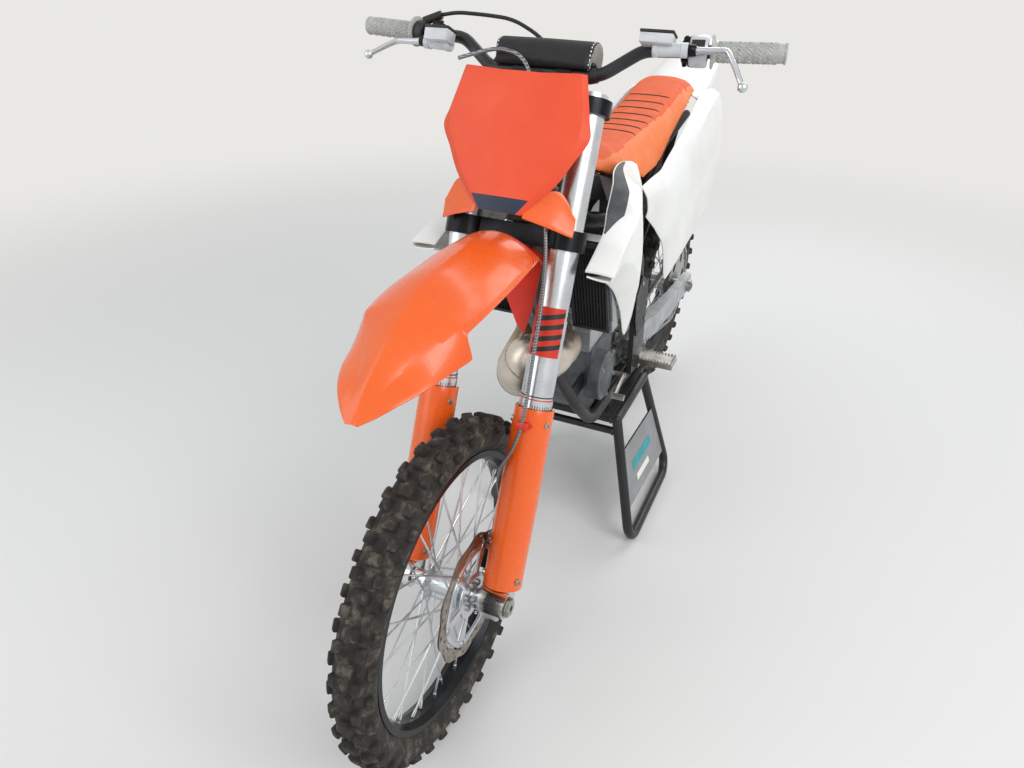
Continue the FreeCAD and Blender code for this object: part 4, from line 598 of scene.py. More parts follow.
def makeFender(shape):
    surface = surfaceOf(crownedRows(shape["rows"]), shape["crown"])
    fender = skin(sheetOf("frontFender", surface, 70, 24), shape["wall"], 1.3, 16)
    place(fender, bike)
    dress(fender, "orangePolypropylene", "steering", "front_fender")
    lines = []
    for i in range(3):
        # moulded lines that run from the ridge to the edge near the clamp
        u = 0.055 + i * 0.014
        lines.append(strip("fenderLine", surface,
                           (((u, 0.60), (u + 0.03, 0.97)), ((u + 0.005, 0.60), (u + 0.035, 0.97))),
                           (18, 1), 0.4))
    trim = joined("fenderLines", lines)
    modify(trim, "SOLIDIFY", thickness=0.5, offset=1.0)
    place(trim, bike)
    dress(trim, "redPlasticAndPaintedShade", "steering")
    # flap behind the wheel, cut in two points; its red finish is painted shade, the orange fender's plastic
    # as seen in shade
    corners = list(shape["flap"]) + [(-a, b) for a, b in shape["flap"][:0:-1]]
    flap = begin("circle", "fenderFlap", vertices=len(corners), radius=1, fill_type="NGON")
    for vertex, (across, along) in zip(flap.data.vertices, corners):
        vertex.co = (17, across, along)
    flap.data.update()
    modify(flap, "SOLIDIFY", thickness=3.4, offset=-1.0)
    if flap.data.polygons[0].normal.x < 0:
        flap.data.transform(Matrix.Translation((-3.4, 0, 0)))
    modify(flap, "BEVEL", width=1.0, segments=2)
    place(flap, fork)
    dress(flap, "redPlasticAndPaintedShade", "steering")
    mount = begin("cube", "fenderMount", size=1, location=(21, 0, 650.5), scale=(48, 66, 34))
    place(mount, Matrix.Identity(4))
    editFaces(mount, lambda face: abs(face.normal.z) > 0.9, ("inset", {"thickness": 6}))
    modify(mount, "BEVEL", width=3, segments=3)
    smooth(mount)
    place(mount, fork)
    dress(mount, "redPlasticAndPaintedShade", "steering")


makeFender(fenderShape)

shroudShape = {
    "rows": (
        (444, (151, 912), (204, 909), (200, 896), (154, 900)),
        (350, (147, 937), (196, 930), (192, 890), (151, 852)),
        (258, (126, 958), (190, 944), (190, 850), (150, 786)),
        (200, (116, 985), (178, 958), (186, 790), (150, 717)),
        (145, (100, 994), (158, 966), (168, 740), (150, 627)),
        (85, (90, 990), (136, 955), (152, 850), (148, 650)),
        (25, (86, 978), (124, 945), (130, 925), (132, 905)),
        (-12, (90, 968), (104, 962), (106, 956), (108, 950)),
    ),
    "wall": 3.2,
    "crown": 0.03,
}
panelShape = {
    "rows": (
        (-40, (112, 905), (128, 880), (132, 850), (128, 834)),
        (-148, (109, 895), (132, 865), (136, 800), (130, 757)),
        (-220, (108, 888), (134, 850), (140, 760), (133, 690)),
        (-265, (108, 898), (135, 855), (144, 720), (138, 580)),
        (-404, (111, 935), (140, 890), (152, 760), (150, 612)),
        (-634, (102, 982), (136, 945), (152, 800), (150, 624)),
        (-715, (101, 975), (130, 950), (150, 820), (150, 650)),
        (-800, (102, 960), (124, 945), (142, 880), (148, 765)),
    ),
    "wall": 3.2,
    "crown": 0.03,
}
tailShape = {
    "rows": (
        (-642, 982, (60, 978), (96, 958), (98, 930)),
        (-800, 1012, (58, 1006), (92, 985), (96, 955)),
        (-960, 1032, (50, 1028), (80, 1012), (84, 995)),
        (-1121, 1044, (34, 1040), (56, 1030), (60, 1020)),
    ),
    "wall": 3.2,
    "crown": 0.03,
}


def sideRows(rows):
    # the rows run forwards, so that the skin's face is its outside
    return [[(x, a, b) for a, b in corners] for x, *corners in rows[::-1]]


def makeSideSkin(name, shape, steps):
    surface = surfaceOf(sideRows(shape["rows"]), shape["crown"])
    piece = withTwin(skin(sheetOf(name, surface, *steps), shape["wall"]))
    return piece, surface


def makeShrouds(shape):
    piece, surface = makeSideSkin("shroudSkins", shape, (84, 30))
    place(piece, bike)
    dress(piece, "whitePolypropylene", "chassis", "shrouds")
    # dark grained insert along the inner side of the top face
    rows = len(shape["rows"]) - 1

    def insertPoint(u, v):
        along = (1.15 + (5.85 - 1.15) * u) / rows
        widest = 0.1 + 0.46 * min(1, u * 1.7, (1 - u) * 6)
        across = (0.035 + (widest - 0.035) * v) / 3
        here = surface(along, across)
        du = surface(along + 0.004, across) - surface(along - 0.004, across)
        dv = surface(along, across + 0.004) - surface(along, max(across - 0.004, 0))
        return here + du.cross(dv).normalized() * 0.9

    insert = sheetOf("shroudInserts", insertPoint, 60, 14)
    modify(insert, "SOLIDIFY", thickness=1.4, offset=-1.0)
    modify(insert, "BEVEL", width=0.5, segments=2, limit_method="ANGLE", angle_limit=radians(30))
    smooth(insert, 30)
    withTwin(insert)
    place(insert, bike)
    dress(insert, "greyGrainedPlastic", "chassis")


def makePanels(shape):
    piece, _ = makeSideSkin("sidePanelSkins", shape, (70, 24))
    place(piece, bike)
    dress(piece, "whitePolypropylene", "chassis", "side_panels")


def makeTail(shape):
    surface = surfaceOf(crownedRows(shape["rows"][::-1]), shape["crown"])
    piece = skin(sheetOf("rearFender", surface, 40, 24), shape["wall"], 1.3, 16)
    place(piece, bike)
    dress(piece, "whitePolypropylene", "chassis", "rear_fender")


makeShrouds(shroudShape)
makePanels(panelShape)
makeTail(tailShape)
print("fender, shrouds, side panels and tail done")

# number plate in the fork's frame: along, then (lead, across) from the middle to the rolled edge
plateShape = {
    "rows": (
        (712, (122, 14), (119, 35), (110, 42)),
        (738, (121, 22), (117, 54), (107, 66)),
        (772, (120, 30), (115, 80), (104, 95)),
        (812, (119, 38), (114, 102), (102, 117)),
        (852, (118, 45), (111, 120), (100, 137)),
        (880, (117, 44), (110, 121), (99, 130)),
        (952, (113, 38), (107, 104), (99, 112)),
    ),
    "wall": 3.2,
    "bandTop": 738,
    "wing": ((44, 109, 708, 748), (93, 88, 698, 763), (120, 71, 691, 732), (126, 67, 690, 724)),
}


def makePlate(shape):
    rows = []
    for along, *half in shape["rows"]:
        left = [(lead, across, along) for lead, across in half[::-1]]
        right = [(lead, -across, along) for lead, across in half]
        rows.append(left + right)
    # the top edge dips in the middle
    top = rows[-1]
    rows[-1] = [(x, y, z - 8 * (1 - abs(y) / 112)) for x, y, z in top]
    surface = surfaceOf(rows, 0.012, (0, 0, 1))
    plate = sheetOf("numberPlate", surface, 54, 30)
    skin(plate, shape["wall"], 1.2, 12)
    paint(plate, "navyVinyl", lambda face: face.center.z < shape["bandTop"] - 1 and face.center.x > 112
          and face.normal.x > 0.8)
    wing = sheetOf("plateWing", surfaceOf([[(lead, across, high), (lead, across, low)]
                                           for across, lead, low, high in shape["wing"]], 0.03,
                                          (0, 1, 0)), 18, 8)
    skin(wing, 3.2, 1.0)
    withTwin(wing)
    for piece in (plate, wing):
        place(piece, fork)
    dress(plate, "orangeVinyl", "steering", "number_plate")
    dress(wing, "orangePolypropylene", "steering")


makePlate(plateShape)

# fork guards about each leg: along, radius, how far the nose stands ahead, half the opening angle
guardShape = {
    "legLead": 22,
    "legAcross": 100,
    "wall": 3.2,
    "rows": ((26, 37.5, 4, 118), (64, 37.5, 3, 118), (176, 38.2, 1, 113), (379, 37.2, 0, 108)),
}


def makeGuards(shape):
    rows = shape["rows"]

    def surface(u, v):
        t = u * (len(rows) - 1)
        along, radius, nose, opening = [smoothBetween([row[k] for row in rows], t) for k in range(4)]
        angle = radians((0.5 - v) * 2 * opening)
        lead = shape["legLead"] + radius * cos(angle) + nose * max(cos(angle), 0)
        return Vector((lead, shape["legAcross"] + radius * sin(angle), along))

    guard = skin(sheetOf("forkGuards", surface, 40, 40), shape["wall"], 1.0)
    withTwin(guard)
    place(guard, fork)
    dress(guard, "orangePolypropylene", "steering", "fork_guards")


makeGuards(guardShape)
print("plate and fork guards done")

# one half of each tyre's section from bead to crown (across, radius), and where its lugs stand
tyreShapes = {
    "frontTyreTread": {
        "section": ((21.7, 268.2), (22.4, 277.5), (30, 286), (36.6, 299), (38, 311), (34, 321), (24, 328.5),
                    (12, 332), (0, 333)),
        "pitches": 36,
        "lugs": (
            # across, radius at its foot, lean, turn within the pitch, size round the tyre, across, high
            (0, 332, 0, 0.0, (21, 27, 13)),
            (19.5, 328, 16, 0.5, (20, 15, 14)),
            (-19.5, 328, -16, 0.5, (20, 15, 14)),
            (33.5, 317, 48, 0.06, (20, 13, 11)),
            (-33.5, 317, -48, 0.06, (20, 13, 11)),
        ),
        "frame": "front", "replaces": "front_tyre", "body": "front_wheel",
    },
    "rearTyreTread": {
        "section": ((26.7, 242.2), (27.4, 251.5), (36, 262), (44, 280), (46, 298), (42, 311), (30, 320),
                    (15, 324), (0, 325)),
        "pitches": 34,
        "lugs": (
            (11, 324, 0, 0.0, (22, 17, 14.5)),
            (-11, 324, 0, 0.0, (22, 17, 14.5)),
            (27, 319, 16, 0.5, (21, 18, 15)),
            (-27, 319, -16, 0.5, (21, 18, 15)),
            (41.5, 308, 46, 0.06, (21, 15, 12)),
            (-41.5, 308, -46, 0.06, (21, 15, 12)),
        ),
        "frame": "rear", "replaces": "rear_tyre", "body": "rear_wheel",
    },
}
wheelFrames = {"front": frontWheel, "rear": rearWheel}


def spun(name, outline, steps, closed=True):
    # turns a closed outline of (across, radius) about the axle
    piece = begin("circle", name, vertices=len(outline), radius=1, fill_type="NOTHING")
    for vertex, (across, radius) in zip(piece.data.vertices, outline):
        vertex.co = (radius, across, 0)
    pick(piece)
    bpy.ops.object.mode_set(mode="EDIT")
    bpy.ops.mesh.select_all(action="SELECT")
    bpy.ops.mesh.spin(steps=steps, angle=2 * pi, center=(0, 0, 0), axis=(0, 1, 0))
    bpy.ops.mesh.select_all(action="SELECT")
    bpy.ops.mesh.remove_doubles(threshold=0.001)
    bpy.ops.mesh.normals_make_consistent(inside=False)
    bpy.ops.object.mode_set(mode="OBJECT")
    return piece


def makeLug(size):
    # tapered block with worn, rounded edges; its foot stands a little inside the carcass
    length, width, height = size
    lug = begin("cube", "lug", size=1, location=(0, 0, height / 2 - 2), scale=(length, width, height + 4))
    place(lug, Matrix.Identity(4))
    editFaces(lug, lambda face: face.normal.z > 0.9, ("inset", {"thickness": 1.6}))
    for vertex in lug.data.vertices:
        if vertex.co.z > height - 0.1 and abs(vertex.co.x) > length / 2 - 0.5:
            vertex.co.z -= 1.2
    modify(lug, "BEVEL", width=1.1, segments=1, limit_method="ANGLE", angle_limit=radians(40))
    return lug


def makeTyre(name, shape):
    half = list(shape["section"])
    outline = half + [(-across, radius) for across, radius in half[-2::-1]]
    carcass = spun(name, outline, 108)
    step = 2 * pi / shape["pitches"]
    pitch = []
    for across, radius, lean, share, size in shape["lugs"]:
        lug = makeLug(size)
        place(lug, Matrix.Rotation(share * step, 4, "Y") @ Matrix.Translation((0, across, radius - 1))
              @ Matrix.Rotation(radians(-lean), 4, "X"))
        pitch.append(lug)
    first = joined("pitch", pitch)
    copies = [copied(first, "pitch", Matrix.Rotation(i * step, 4, "Y")) for i in range(1, shape["pitches"])]
    tyre = joined(name, [carcass, first] + copies)
    smooth(tyre, 40)
    place(tyre, wheelFrames[shape["frame"]] @ Matrix.Rotation(radians(90 - 2.72), 4, "Y"))
    dress(tyre, "treadRubber", shape["body"], shape["replaces"])


for name, shape in tyreShapes.items():
    makeTyre(name, shape)

discShapes = {
    "frontWaveDisc": {"across": 54, "outer": 130, "inner": 103, "wave": 3.2, "lobes": 10, "thick": 3.5,
                      "hubRadius": 34, "bolt": 26, "frame": "front", "body": "front_wheel",
                      "replaces": "front_disc"},
    "rearWaveDisc": {"across": -62, "outer": 110, "inner": 84, "wave": 3.0, "lobes": 8, "thick": 3.5,
                     "hubRadius": 42, "bolt": 32, "frame": "rear", "body": "rear_wheel",
                     "replaces": "rear_disc"},
}


def polarSheet(name, radii, steps, edge, gone):
    # flat ring of sectors, its radii bent by edge(radius index, angle);
    # the sectors that gone() names are cut out
    piece = sheetOf(name, lambda u, v: Vector((u, v, 0)), steps, len(radii) - 1)
    pick(piece)
    bpy.ops.object.mode_set(mode="EDIT")
    bpy.ops.mesh.select_all(action="DESELECT")
    bpy.ops.object.mode_set(mode="OBJECT")
    for face in piece.data.polygons:
        face.select = gone(int(face.center.x * steps), int(face.center.y * (len(radii) - 1)))
    bpy.ops.object.mode_set(mode="EDIT")
    bpy.ops.mesh.select_mode(type="FACE")
    bpy.ops.mesh.delete(type="FACE")
    bpy.ops.object.mode_set(mode="OBJECT")
    for vertex in piece.data.vertices:
        index = round(vertex.co.y * (len(radii) - 1))
        angle = vertex.co.x * 2 * pi
        radius = radii[index] + edge(index, angle)
        vertex.co = (radius * cos(angle), 0, radius * sin(angle))
    pick(piece)
    bpy.ops.object.mode_set(mode="EDIT")
    bpy.ops.mesh.select_all(action="SELECT")
    bpy.ops.mesh.remove_doubles(threshold=0.01)
    bpy.ops.object.mode_set(mode="OBJECT")
    return piece


def makeDisc(name, shape):
    outer, inner, lobes = shape["outer"], shape["inner"], shape["lobes"]
    width = outer - inner
    steps = lobes * 24
    radii = (inner, inner + width * 0.22, inner + width * 0.4, inner + width * 0.62,
             inner + width * 0.8, outer)

    def wave(index, angle):
        bend = shape["wave"] * (cos(lobes * angle) - 1)
        return bend * (0.35 if index in (1, 2, 3, 4) else (1 if index == 5 else -0.8))

    def slots(column, row):
        # rows of drilled slots, one set near the outer edge and one further in
        if row == 3:
            return column % 12 in (2, 3, 4)
        return row == 1 and column % 12 in (7, 8, 9)

    ring = polarSheet(name, radii, steps, wave, slots)
    modify(ring, "SOLIDIFY", thickness=shape["thick"], offset=0)
    modify(ring, "BEVEL", width=0.5, segments=1, limit_method="ANGLE", angle_limit=radians(50))
    smooth(ring, 30)
    arms = lobes // 2 + 1
    armSteps = arms * 16
    carrierRadii = (20 if shape["across"] > 0 else 22, shape["hubRadius"],
                    shape["hubRadius"] + 12, inner - 12, inner + 1)

    def windows(column, row):
        return row == 2 and column % 16 not in (0, 1, 2, 15)

    carrier = polarSheet(name + "Carrier", carrierRadii, armSteps,
                         lambda index, angle: -2.5 * (1 - cos(arms * angle)) if index == 4 else 0, windows)
    modify(carrier, "SOLIDIFY", thickness=5.5, offset=0)
    modify(carrier, "BEVEL", width=1.0, segments=2, limit_method="ANGLE", angle_limit=radians(50))
    smooth(carrier, 30)
    side = 1 if shape["across"] > 0 else -1
    parts = []
    for i in range(arms):
        # bobbins that hold the ring to the carrier's arms
        angle = (i + 0.03) * 2 * pi / arms
        bobbin = spun("bobbin", [(-4, 0.01), (-4, 6.5), (-2.6, 7.4), (2.6, 7.4), (4, 6.5), (4, 0.01)], 16)
        place(bobbin, Matrix.Translation(((inner - 5) * cos(angle), 0, (inner - 5) * sin(angle))))
        parts.append(bobbin)
    for i in range(6):
        angle = (i + 0.5) * pi / 3
        bolt = spun("discBolt", [(0, 0.01), (0, 6.4), (4.5, 6), (5, 5), (5, 3.2), (2.4, 3), (2.4, 0.01)], 12)
        place(bolt, Matrix.Translation((shape["bolt"] * cos(angle), side * 2.7, shape["bolt"] * sin(angle)))
              @ Matrix.Rotation(0 if side > 0 else pi, 4, "X"))
        parts.append(bolt)
    hardware = joined(name + "Hardware", parts)
    smooth(hardware)
    frameMatrix = wheelFrames[shape["frame"]] @ Matrix.Translation((0, shape["across"], 0))
    for piece, finish in ((ring, "brakeSteel"), (carrier, "machinedAluminium"), (hardware, "zincSteel")):
        place(piece, frameMatrix)
        dress(piece, finish, shape["body"])
    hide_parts(shape["replaces"])


for name, shape in discShapes.items():
    makeDisc(name, shape)
print("tyres and brake discs done")

# fork details in the fork's frame, for the left leg; the legs stand at legLead, legAcross
forkShape = {
    "legLead": 22, "legAcross": 100, "tube": 28.5,
    "sealFoot": 379, "decalLow": 476, "decalHigh": 566,
    "capHigh": 939,
}


def legSleeve(name, outline, steps=40):
    # turns (radius, along) about the left leg
    piece = spun(name, [(along, max(radius, 0.01)) for radius, along in outline], steps)
    turn = Matrix(((1, 0, 0, 0), (0, 0, 1, 0), (0, 1, 0, 0), (0, 0, 0, 1)))
    place(piece, turn)
    editFaces(piece, lambda face: True, ("normals_make_consistent", {"inside": False}))
    return place(piece, Matrix.Translation((forkShape["legLead"], forkShape["legAcross"], 0)))


def legPatch(name, low, high, angles, lift, cut=None):
    # printed film on the outer tube: from one angle to another about the leg, 0 straight ahead, 90 outwards
    radius = forkShape["tube"] + lift
    first, last = angles

    def point(u, v):
        lean = cut(u) if cut else (0, 0)
        angle = radians(first + (last - first) * u)
        along = (low + lean[0]) + ((high + lean[1]) - (low + lean[0])) * v
        return Vector((forkShape["legLead"] + radius * cos(angle),
                       forkShape["legAcross"] + radius * sin(angle),
                       along))

    piece = sheetOf(name, point, 28, 6)
    modify(piece, "SOLIDIFY", thickness=0.35, offset=0)
    return piece


def makeFork(shape):
    foot = shape["sealFoot"]
    tube = shape["tube"]
    rings = {
        "forkDustSeal": ([(24.4, foot - 2), (tube + 2.4, foot - 2), (tube + 3, foot), (tube + 3, foot + 7),
                          (tube + 1.6, foot + 9), (24.4, foot + 9)], "blackRubber"),
        "forkSealBand": ([(24.4, foot + 9.5), (tube + 2.2, foot + 9.5), (tube + 2.8, foot + 11),
                          (tube + 2.8, foot + 17), (tube + 2.2, foot + 18), (24.4, foot + 18)],
                         "redPlasticAndPaintedShade"),
        "forkGroove": ([(tube - 1, foot + 21), (tube + 2.3, foot + 21.5), (tube + 2.3, foot + 23.5),
                        (tube - 1, foot + 24)], "blackRubber"),
        "forkCapNut": ([(0, shape["capHigh"] + 3.6), (9, shape["capHigh"] + 3.6),
                        (10, shape["capHigh"] + 2.6),
                        (10, shape["capHigh"] + 0.8), (tube - 4, shape["capHigh"] + 0.8),
                        (tube - 2.4, shape["capHigh"] - 0.6), (0, shape["capHigh"] - 0.6)],
                       "redPlasticAndPaintedShade"),
    }
    for name, (outline, finish) in rings.items():
        ring = legSleeve(name, outline)
        smooth(ring, 35)
        withTwin(ring)
        place(ring, fork)
        dress(ring, finish, "steering")
    # generic bands on the outer tubes: a red field with slanted dark bars
    field = legPatch("forkBand", shape["decalLow"], shape["decalHigh"], (-72, 72), 1.65)
    bars = []
    for i in range(4):
        low = shape["decalLow"] + 4 + i * 19
        bars.append(legPatch("forkBar", low, low + 9, (-40, 72), 1.95, lambda u: (14 * u, 14 * u)))
    barSet = joined("forkBandBars", bars)
    for piece, finish in ((field, "redPlasticAndPaintedShade"), (barSet, "blackNylon")):
        withTwin(piece)
        place(piece, fork)
        dress(piece, finish, "steering")
    # guard screws and the hose clip on the left guard
    parts = []
    for along, angle in ((46, 62), (46, -62), (352, 66), (352, -66)):
        bolt = spun("guardBolt",
                    [(-2, 0.01), (-2, 6), (0.8, 6), (2.6, 4.6), (3, 2.6), (1.8, 2.2), (1.8, 0.01)], 14)
        turn = Matrix.Rotation(radians(angle - 90), 4, "Z")
        place(bolt, Matrix.Translation((shape["legLead"], shape["legAcross"], along)) @ turn
              @ Matrix.Translation((0, 37.8 + (2.6 if abs(angle) < 64 else 0), 0)))
        parts.append(bolt)
    bolts = joined("guardBolts", parts)
    smooth(bolts, 35)
    withTwin(bolts)
    place(bolts, fork)
    dress(bolts, "zincSteel", "steering")
    clip = block("hoseClip", (17, 24, 15), (66, 98, 348), 3, 3)
    strap = block("hoseClipStrap", (10, 30, 7), (58, 99, 348), 2, 2)
    clipSet = joined("hoseClips", [clip, strap])
    smooth(clipSet, 35)
    place(clipSet, fork)
    dress(clipSet, "redPlasticAndPaintedShade", "steering")


makeFork(forkShape)

axleShape = {"lead": 57, "pinchBolts": (96, 113), "webs": (86, 100, 114)}


def makeAxleLug(shape):
    # pinch bolts, the axle's nut on the left, and the split in each lug
    parts = []
    nut = spun("axleNut", [(128.2, 6.2), (128.2, 17), (130, 19), (136, 19), (138, 16.6), (138, 6.2)], 6)
    place(nut, Matrix.Translation((shape["lead"], 0, 0)))
    parts.append(nut)
    washer = spun("axleWasher", [(126.5, 10.2), (126.5, 21), (128.4, 21), (128.4, 10.2)], 32)
    place(washer, Matrix.Translation((shape["lead"], 0, 0)))
    parts.append(washer)
    for across in shape["pinchBolts"]:
        bolt = spun("pinchBolt", [(0, 0.01), (0, 6.6), (5.4, 6.2), (6, 5.4), (6, 3.2), (3, 3), (3, 0.01)], 16)
        place(bolt,
              Matrix.Translation((shape["lead"] + 6, across, -24)) @ Matrix.Rotation(radians(-90), 4, "X"))
        parts.append(bolt)
    hardware = joined("axleLugHardware", parts)
    smooth(hardware, 30)
    withTwin(hardware)
    place(hardware, fork)
    dress(hardware, "zincSteel", "steering")
    webs = []
    for across in shape["webs"]:
        rib = block("axleLugRib", (46, 4.5, 34), (34, across, 3), 2.2, 2)
        webs.append(rib)
    cap = block("axleLugPinch", (26, 34, 16), (shape["lead"] + 4, 104, -19), 4, 3)
    webs.append(cap)
    lugSet = joined("axleLugCasting", webs)
    smooth(lugSet, 35)
    withTwin(lugSet)
    place(lugSet, fork)
    dress(lugSet, "castAluminium", "steering")


makeAxleLug(axleShape)

caliperShape = {"x": -40, "across": 54, "z": 62}


def makeCaliper(shape):
    x, across, z = shape["x"], shape["across"], shape["z"]
    parts = []
    for side in (1, -1):
        half = block("caliperHalf", (46, 16.4, 72), (x - 1, across + side * 11.6, z + 1), 5, 3)
        parts.append(half)
        for high in (-15, 17):
            piston = spun("pistonCap", [(0, 0.01), (0, 12.5), (2, 12.5), (3.4, 11), (3.4, 7), (2.2, 6.4),
                                        (2.2, 0.01)], 28)
            place(piston, Matrix.Translation((x, across + side * 19.2, z + high))
                  @ Matrix.Rotation(0 if side > 0 else pi, 4, "X"))
            parts.append(piston)
    bridge = block("caliperBridge", (16, 38, 60), (x - 17, across, z + 1), 4, 3)
    parts.append(bridge)
    body = joined("caliperBody", parts)
    smooth(body, 35)
    place(body, fork)
    dress(body, "blackAnodised", "steering")
    pads = block("caliperPads", (36, 11, 56), (x + 3, across, z), 1, 1)
    slot = block("padSlot", (60, 4.6, 80), (x + 3, across, z), 0.2, 1)
    modify(pads, "BOOLEAN", operation="DIFFERENCE", object=slot, solver="EXACT")
    bpy.data.objects.remove(slot)
    pin = spun("padPin", [(-22, 0.01), (-22, 3.4), (22, 3.4), (22, 0.01)], 14)
    place(pin, Matrix.Translation((x - 14, across, z + 31)))
    banjo = spun("hoseBanjo", [(0, 0.01), (0, 8), (9, 8), (9, 6), (13, 6), (13, 0.01)], 6)
    place(banjo, Matrix.Translation((x, across - 1, z + 36)) @ Matrix.Rotation(radians(90), 4, "X"))
    hardware = joined("caliperHardware", [pads, pin, banjo])
    smooth(hardware, 35)
    place(hardware, fork)
    dress(hardware, "zincSteel", "steering")


makeCaliper(caliperShape)


def braidedHose(name, finish):
    # hydraulic hose in a clear sleeve over steel braid: diagonal wires show as fine light and dark checks
    material = newMaterial(name)
    place = addNode(material, "TexCoord", {})
    tilt = addNode(material, "Mapping", {"Rotation": (0.0, -0.46, 0.0)}, {"Vector": (place, "Object")})
    first = addNode(material, "TexWave", {"Scale": 1000 / finish["braidMm"] / 6.2832, "bands_direction": "Z",
                                          "Distortion": 1.2, "Detail": 1.0, "Detail Scale": 2.0},
                    {"Vector": (tilt, "Vector")})
    tone = addNode(material, "ValToRGB", {"stops": [(0.25, finish["dark"]), (0.6, finish["colour"]),
                                                    (0.9, finish["light"])]}, {"Fac": (first, "Fac")})
    bump = addNode(material, "Bump", {"Strength": 0.5, "Distance": 0.0004}, {"Height": (first, "Fac")})
    shader = addNode(material, "BsdfPrincipled", {"Metallic": 0.55, "Roughness": 0.34, "Coat Weight": 0.4,
                                                  "Coat Roughness": 0.15},
                     {"Base Color": (tone, "Color"), "Normal": (bump, "Normal")})
    return closeMaterial(material, shader)


finishes["braidedHose"] = braidedHose("braidedHose", {"braidMm": 1.7, "dark": "#55585C", "colour": "#74777B",
                                                      "light": "#96999D"})
dressNode("brake_hose", "braidedHose")
print("fork, axle lugs, caliper and hose done")

# seat, as the sizes of its foam: x, height of the middle, top edge, base edge, height of the hollow under it
seatShape = {
    "rows": (
        (128, 1020, (28, 1016), (46, 990), 995),
        (40, 1004, (40, 999), (75, 951), 955),
        (-60, 990, (48, 986), (93, 902), 938),
        (-230, 986, (54, 982), (95, 888), 902),
        (-400, 996, (56, 992), (97, 934), 938),
        (-520, 1010, (58, 1006), (97, 966), 970),
        (-637, 1021, (54, 1017), (87, 986), 990),
    ),
    "voxel": 0.0055, "pressure": 4.0, "moveLimit": 5.0, "fill": 0.7,
    "ribs": 7, "firstRib": -158, "ribStep": 50, "ribHalf": 55,
}


def closedForm(name, rings):
    # closed shell through rings of equal length, its ends filled
    count = len(rings[0])
    piece = begin("grid", name, x_subdivisions=len(rings) - 1, y_subdivisions=count, size=1)
    for vertex in piece.data.vertices:
        i = round((vertex.co.x + 0.5) * (len(rings) - 1))
        j = round((vertex.co.y + 0.5) * count) % count
        vertex.co = rings[i][j]
    pick(piece)
    bpy.ops.object.mode_set(mode="EDIT")
    bpy.ops.mesh.select_all(action="SELECT")
    bpy.ops.mesh.remove_doubles(threshold=0.0001)
    bpy.ops.mesh.select_mode(type="EDGE")
    bpy.ops.mesh.select_all(action="DESELECT")
    bpy.ops.mesh.select_non_manifold()
    bpy.ops.mesh.edge_face_add()
    bpy.ops.mesh.select_all(action="SELECT")
    bpy.ops.mesh.normals_make_consistent(inside=False)
    bpy.ops.object.mode_set(mode="OBJECT")
    return piece


def puffed(piece, voxel, pressure, moveLimit):
    # foam under a stretched cover: remeshed, blown up a little as cloth, then held near its first shape
    modify(piece, "REMESH", mode="VOXEL", voxel_size=voxel)
    start = [vertex.co.copy() for vertex in piece.data.vertices]
    pick(piece)
    cloth = piece.modifiers.new("cover", "CLOTH")
    cloth.settings.use_pressure = True
    cloth.settings.uniform_pressure_force = pressure
    cloth.settings.effector_weights.gravity = 0
    cloth.settings.quality = 5
    for number in range(1, 21):
        bpy.context.scene.frame_set(number)
    bpy.ops.object.modifier_apply(modifier=cloth.name)
    bpy.context.scene.frame_set(1)
    for vertex, first in zip(piece.data.vertices, start):
        move = vertex.co - first
        if move.length > moveLimit / 1000:
            vertex.co = first + move.normalized() * moveLimit / 1000
    modify(piece, "SMOOTH", factor=0.5, iterations=4)
    modify(piece, "SUBSURF", levels=1, render_levels=1)
    smooth(piece, 180)


def heightAt(piece, x, y, top=1.6):
    hit, spot, normal, _ = piece.ray_cast(Vector((x, y, top)), Vector((0, 0, -1)))
    return (spot, normal) if hit else (None, None)


def makeSeat(shape):
    rings = []
    stops = 46
    for i in range(stops + 1):
        t = i / stops * (len(shape["rows"]) - 1)
        flat = [(x, mid, *crest, *base, low) for x, mid, crest, base, low in shape["rows"]]
        x, mid, crestY, crestZ, baseY, baseZ, low = [smoothBetween([row[k] for row in flat], t)
                                                     for k in range(7)]
        side = [(crestY * 0.5, mid - (mid - crestZ) * 0.25), (crestY, crestZ - 1),
                (crestY + (baseY - crestY) * 0.3, crestZ - (crestZ - baseZ) * 0.2),
                (crestY + (baseY - crestY) * 0.72, crestZ - (crestZ - baseZ) * 0.6), (baseY, baseZ),
                (baseY - 10, baseZ), (baseY * 0.62, low)]
        line = [(0, mid)] + side + [(-y, z) for y, z in side[::-1]]
        rings.append([Vector((x, y, z)) for y, z in line])
    seat = closedForm("seatCover", rings)
    place(seat, bike)
    puffed(seat, shape["voxel"], shape["pressure"], shape["moveLimit"])
    dress(seat, "orangeSeatCover", "chassis", "seat")
    # the sides and underside take a lighter orange: a painted highlight standing for the sunlit sides of the
    # same orange cover
    paint(seat, "seatSidePaintedHighlight", lambda face: abs(face.normal.y) > 0.72 or face.normal.z < 0)
    bpy.context.view_layer.update()
    ribs = []
    for i in range(shape["ribs"]):
        # dark raised ribs welded across the gripper top
        middle = bike @ Vector((shape["firstRib"] - shape["ribStep"] * i, 0, 1000))
        half = shape["ribHalf"] / 1000
        spots = []
        for k in range(25):
            y = -half + 2 * half * k / 24
            bow = 0.007 * (1 - (y / half) ** 2)
            row = []
            for lead in (-0.0024, -0.0012, 0.0012, 0.0024):
                spot, normal = heightAt(seat, middle.x + lead + bow, y)
                lift = 0.0016 if abs(lead) < 0.002 else -0.001
                end = min(k, 24 - k)
                row.append(spot + normal * lift * min(1, 0.3 + end * 0.35))
            spots.append(row)
        rib = sheetOf("seatRib", lambda u, v, s=spots: s[round(u * 24)][round(v * 3)], 24, 3)
        ribs.append(rib)
    band = joined("seatRibs", ribs)
    smooth(band, 60)
    dress(band, "blackRubber", "chassis")


makeSeat(seatShape)

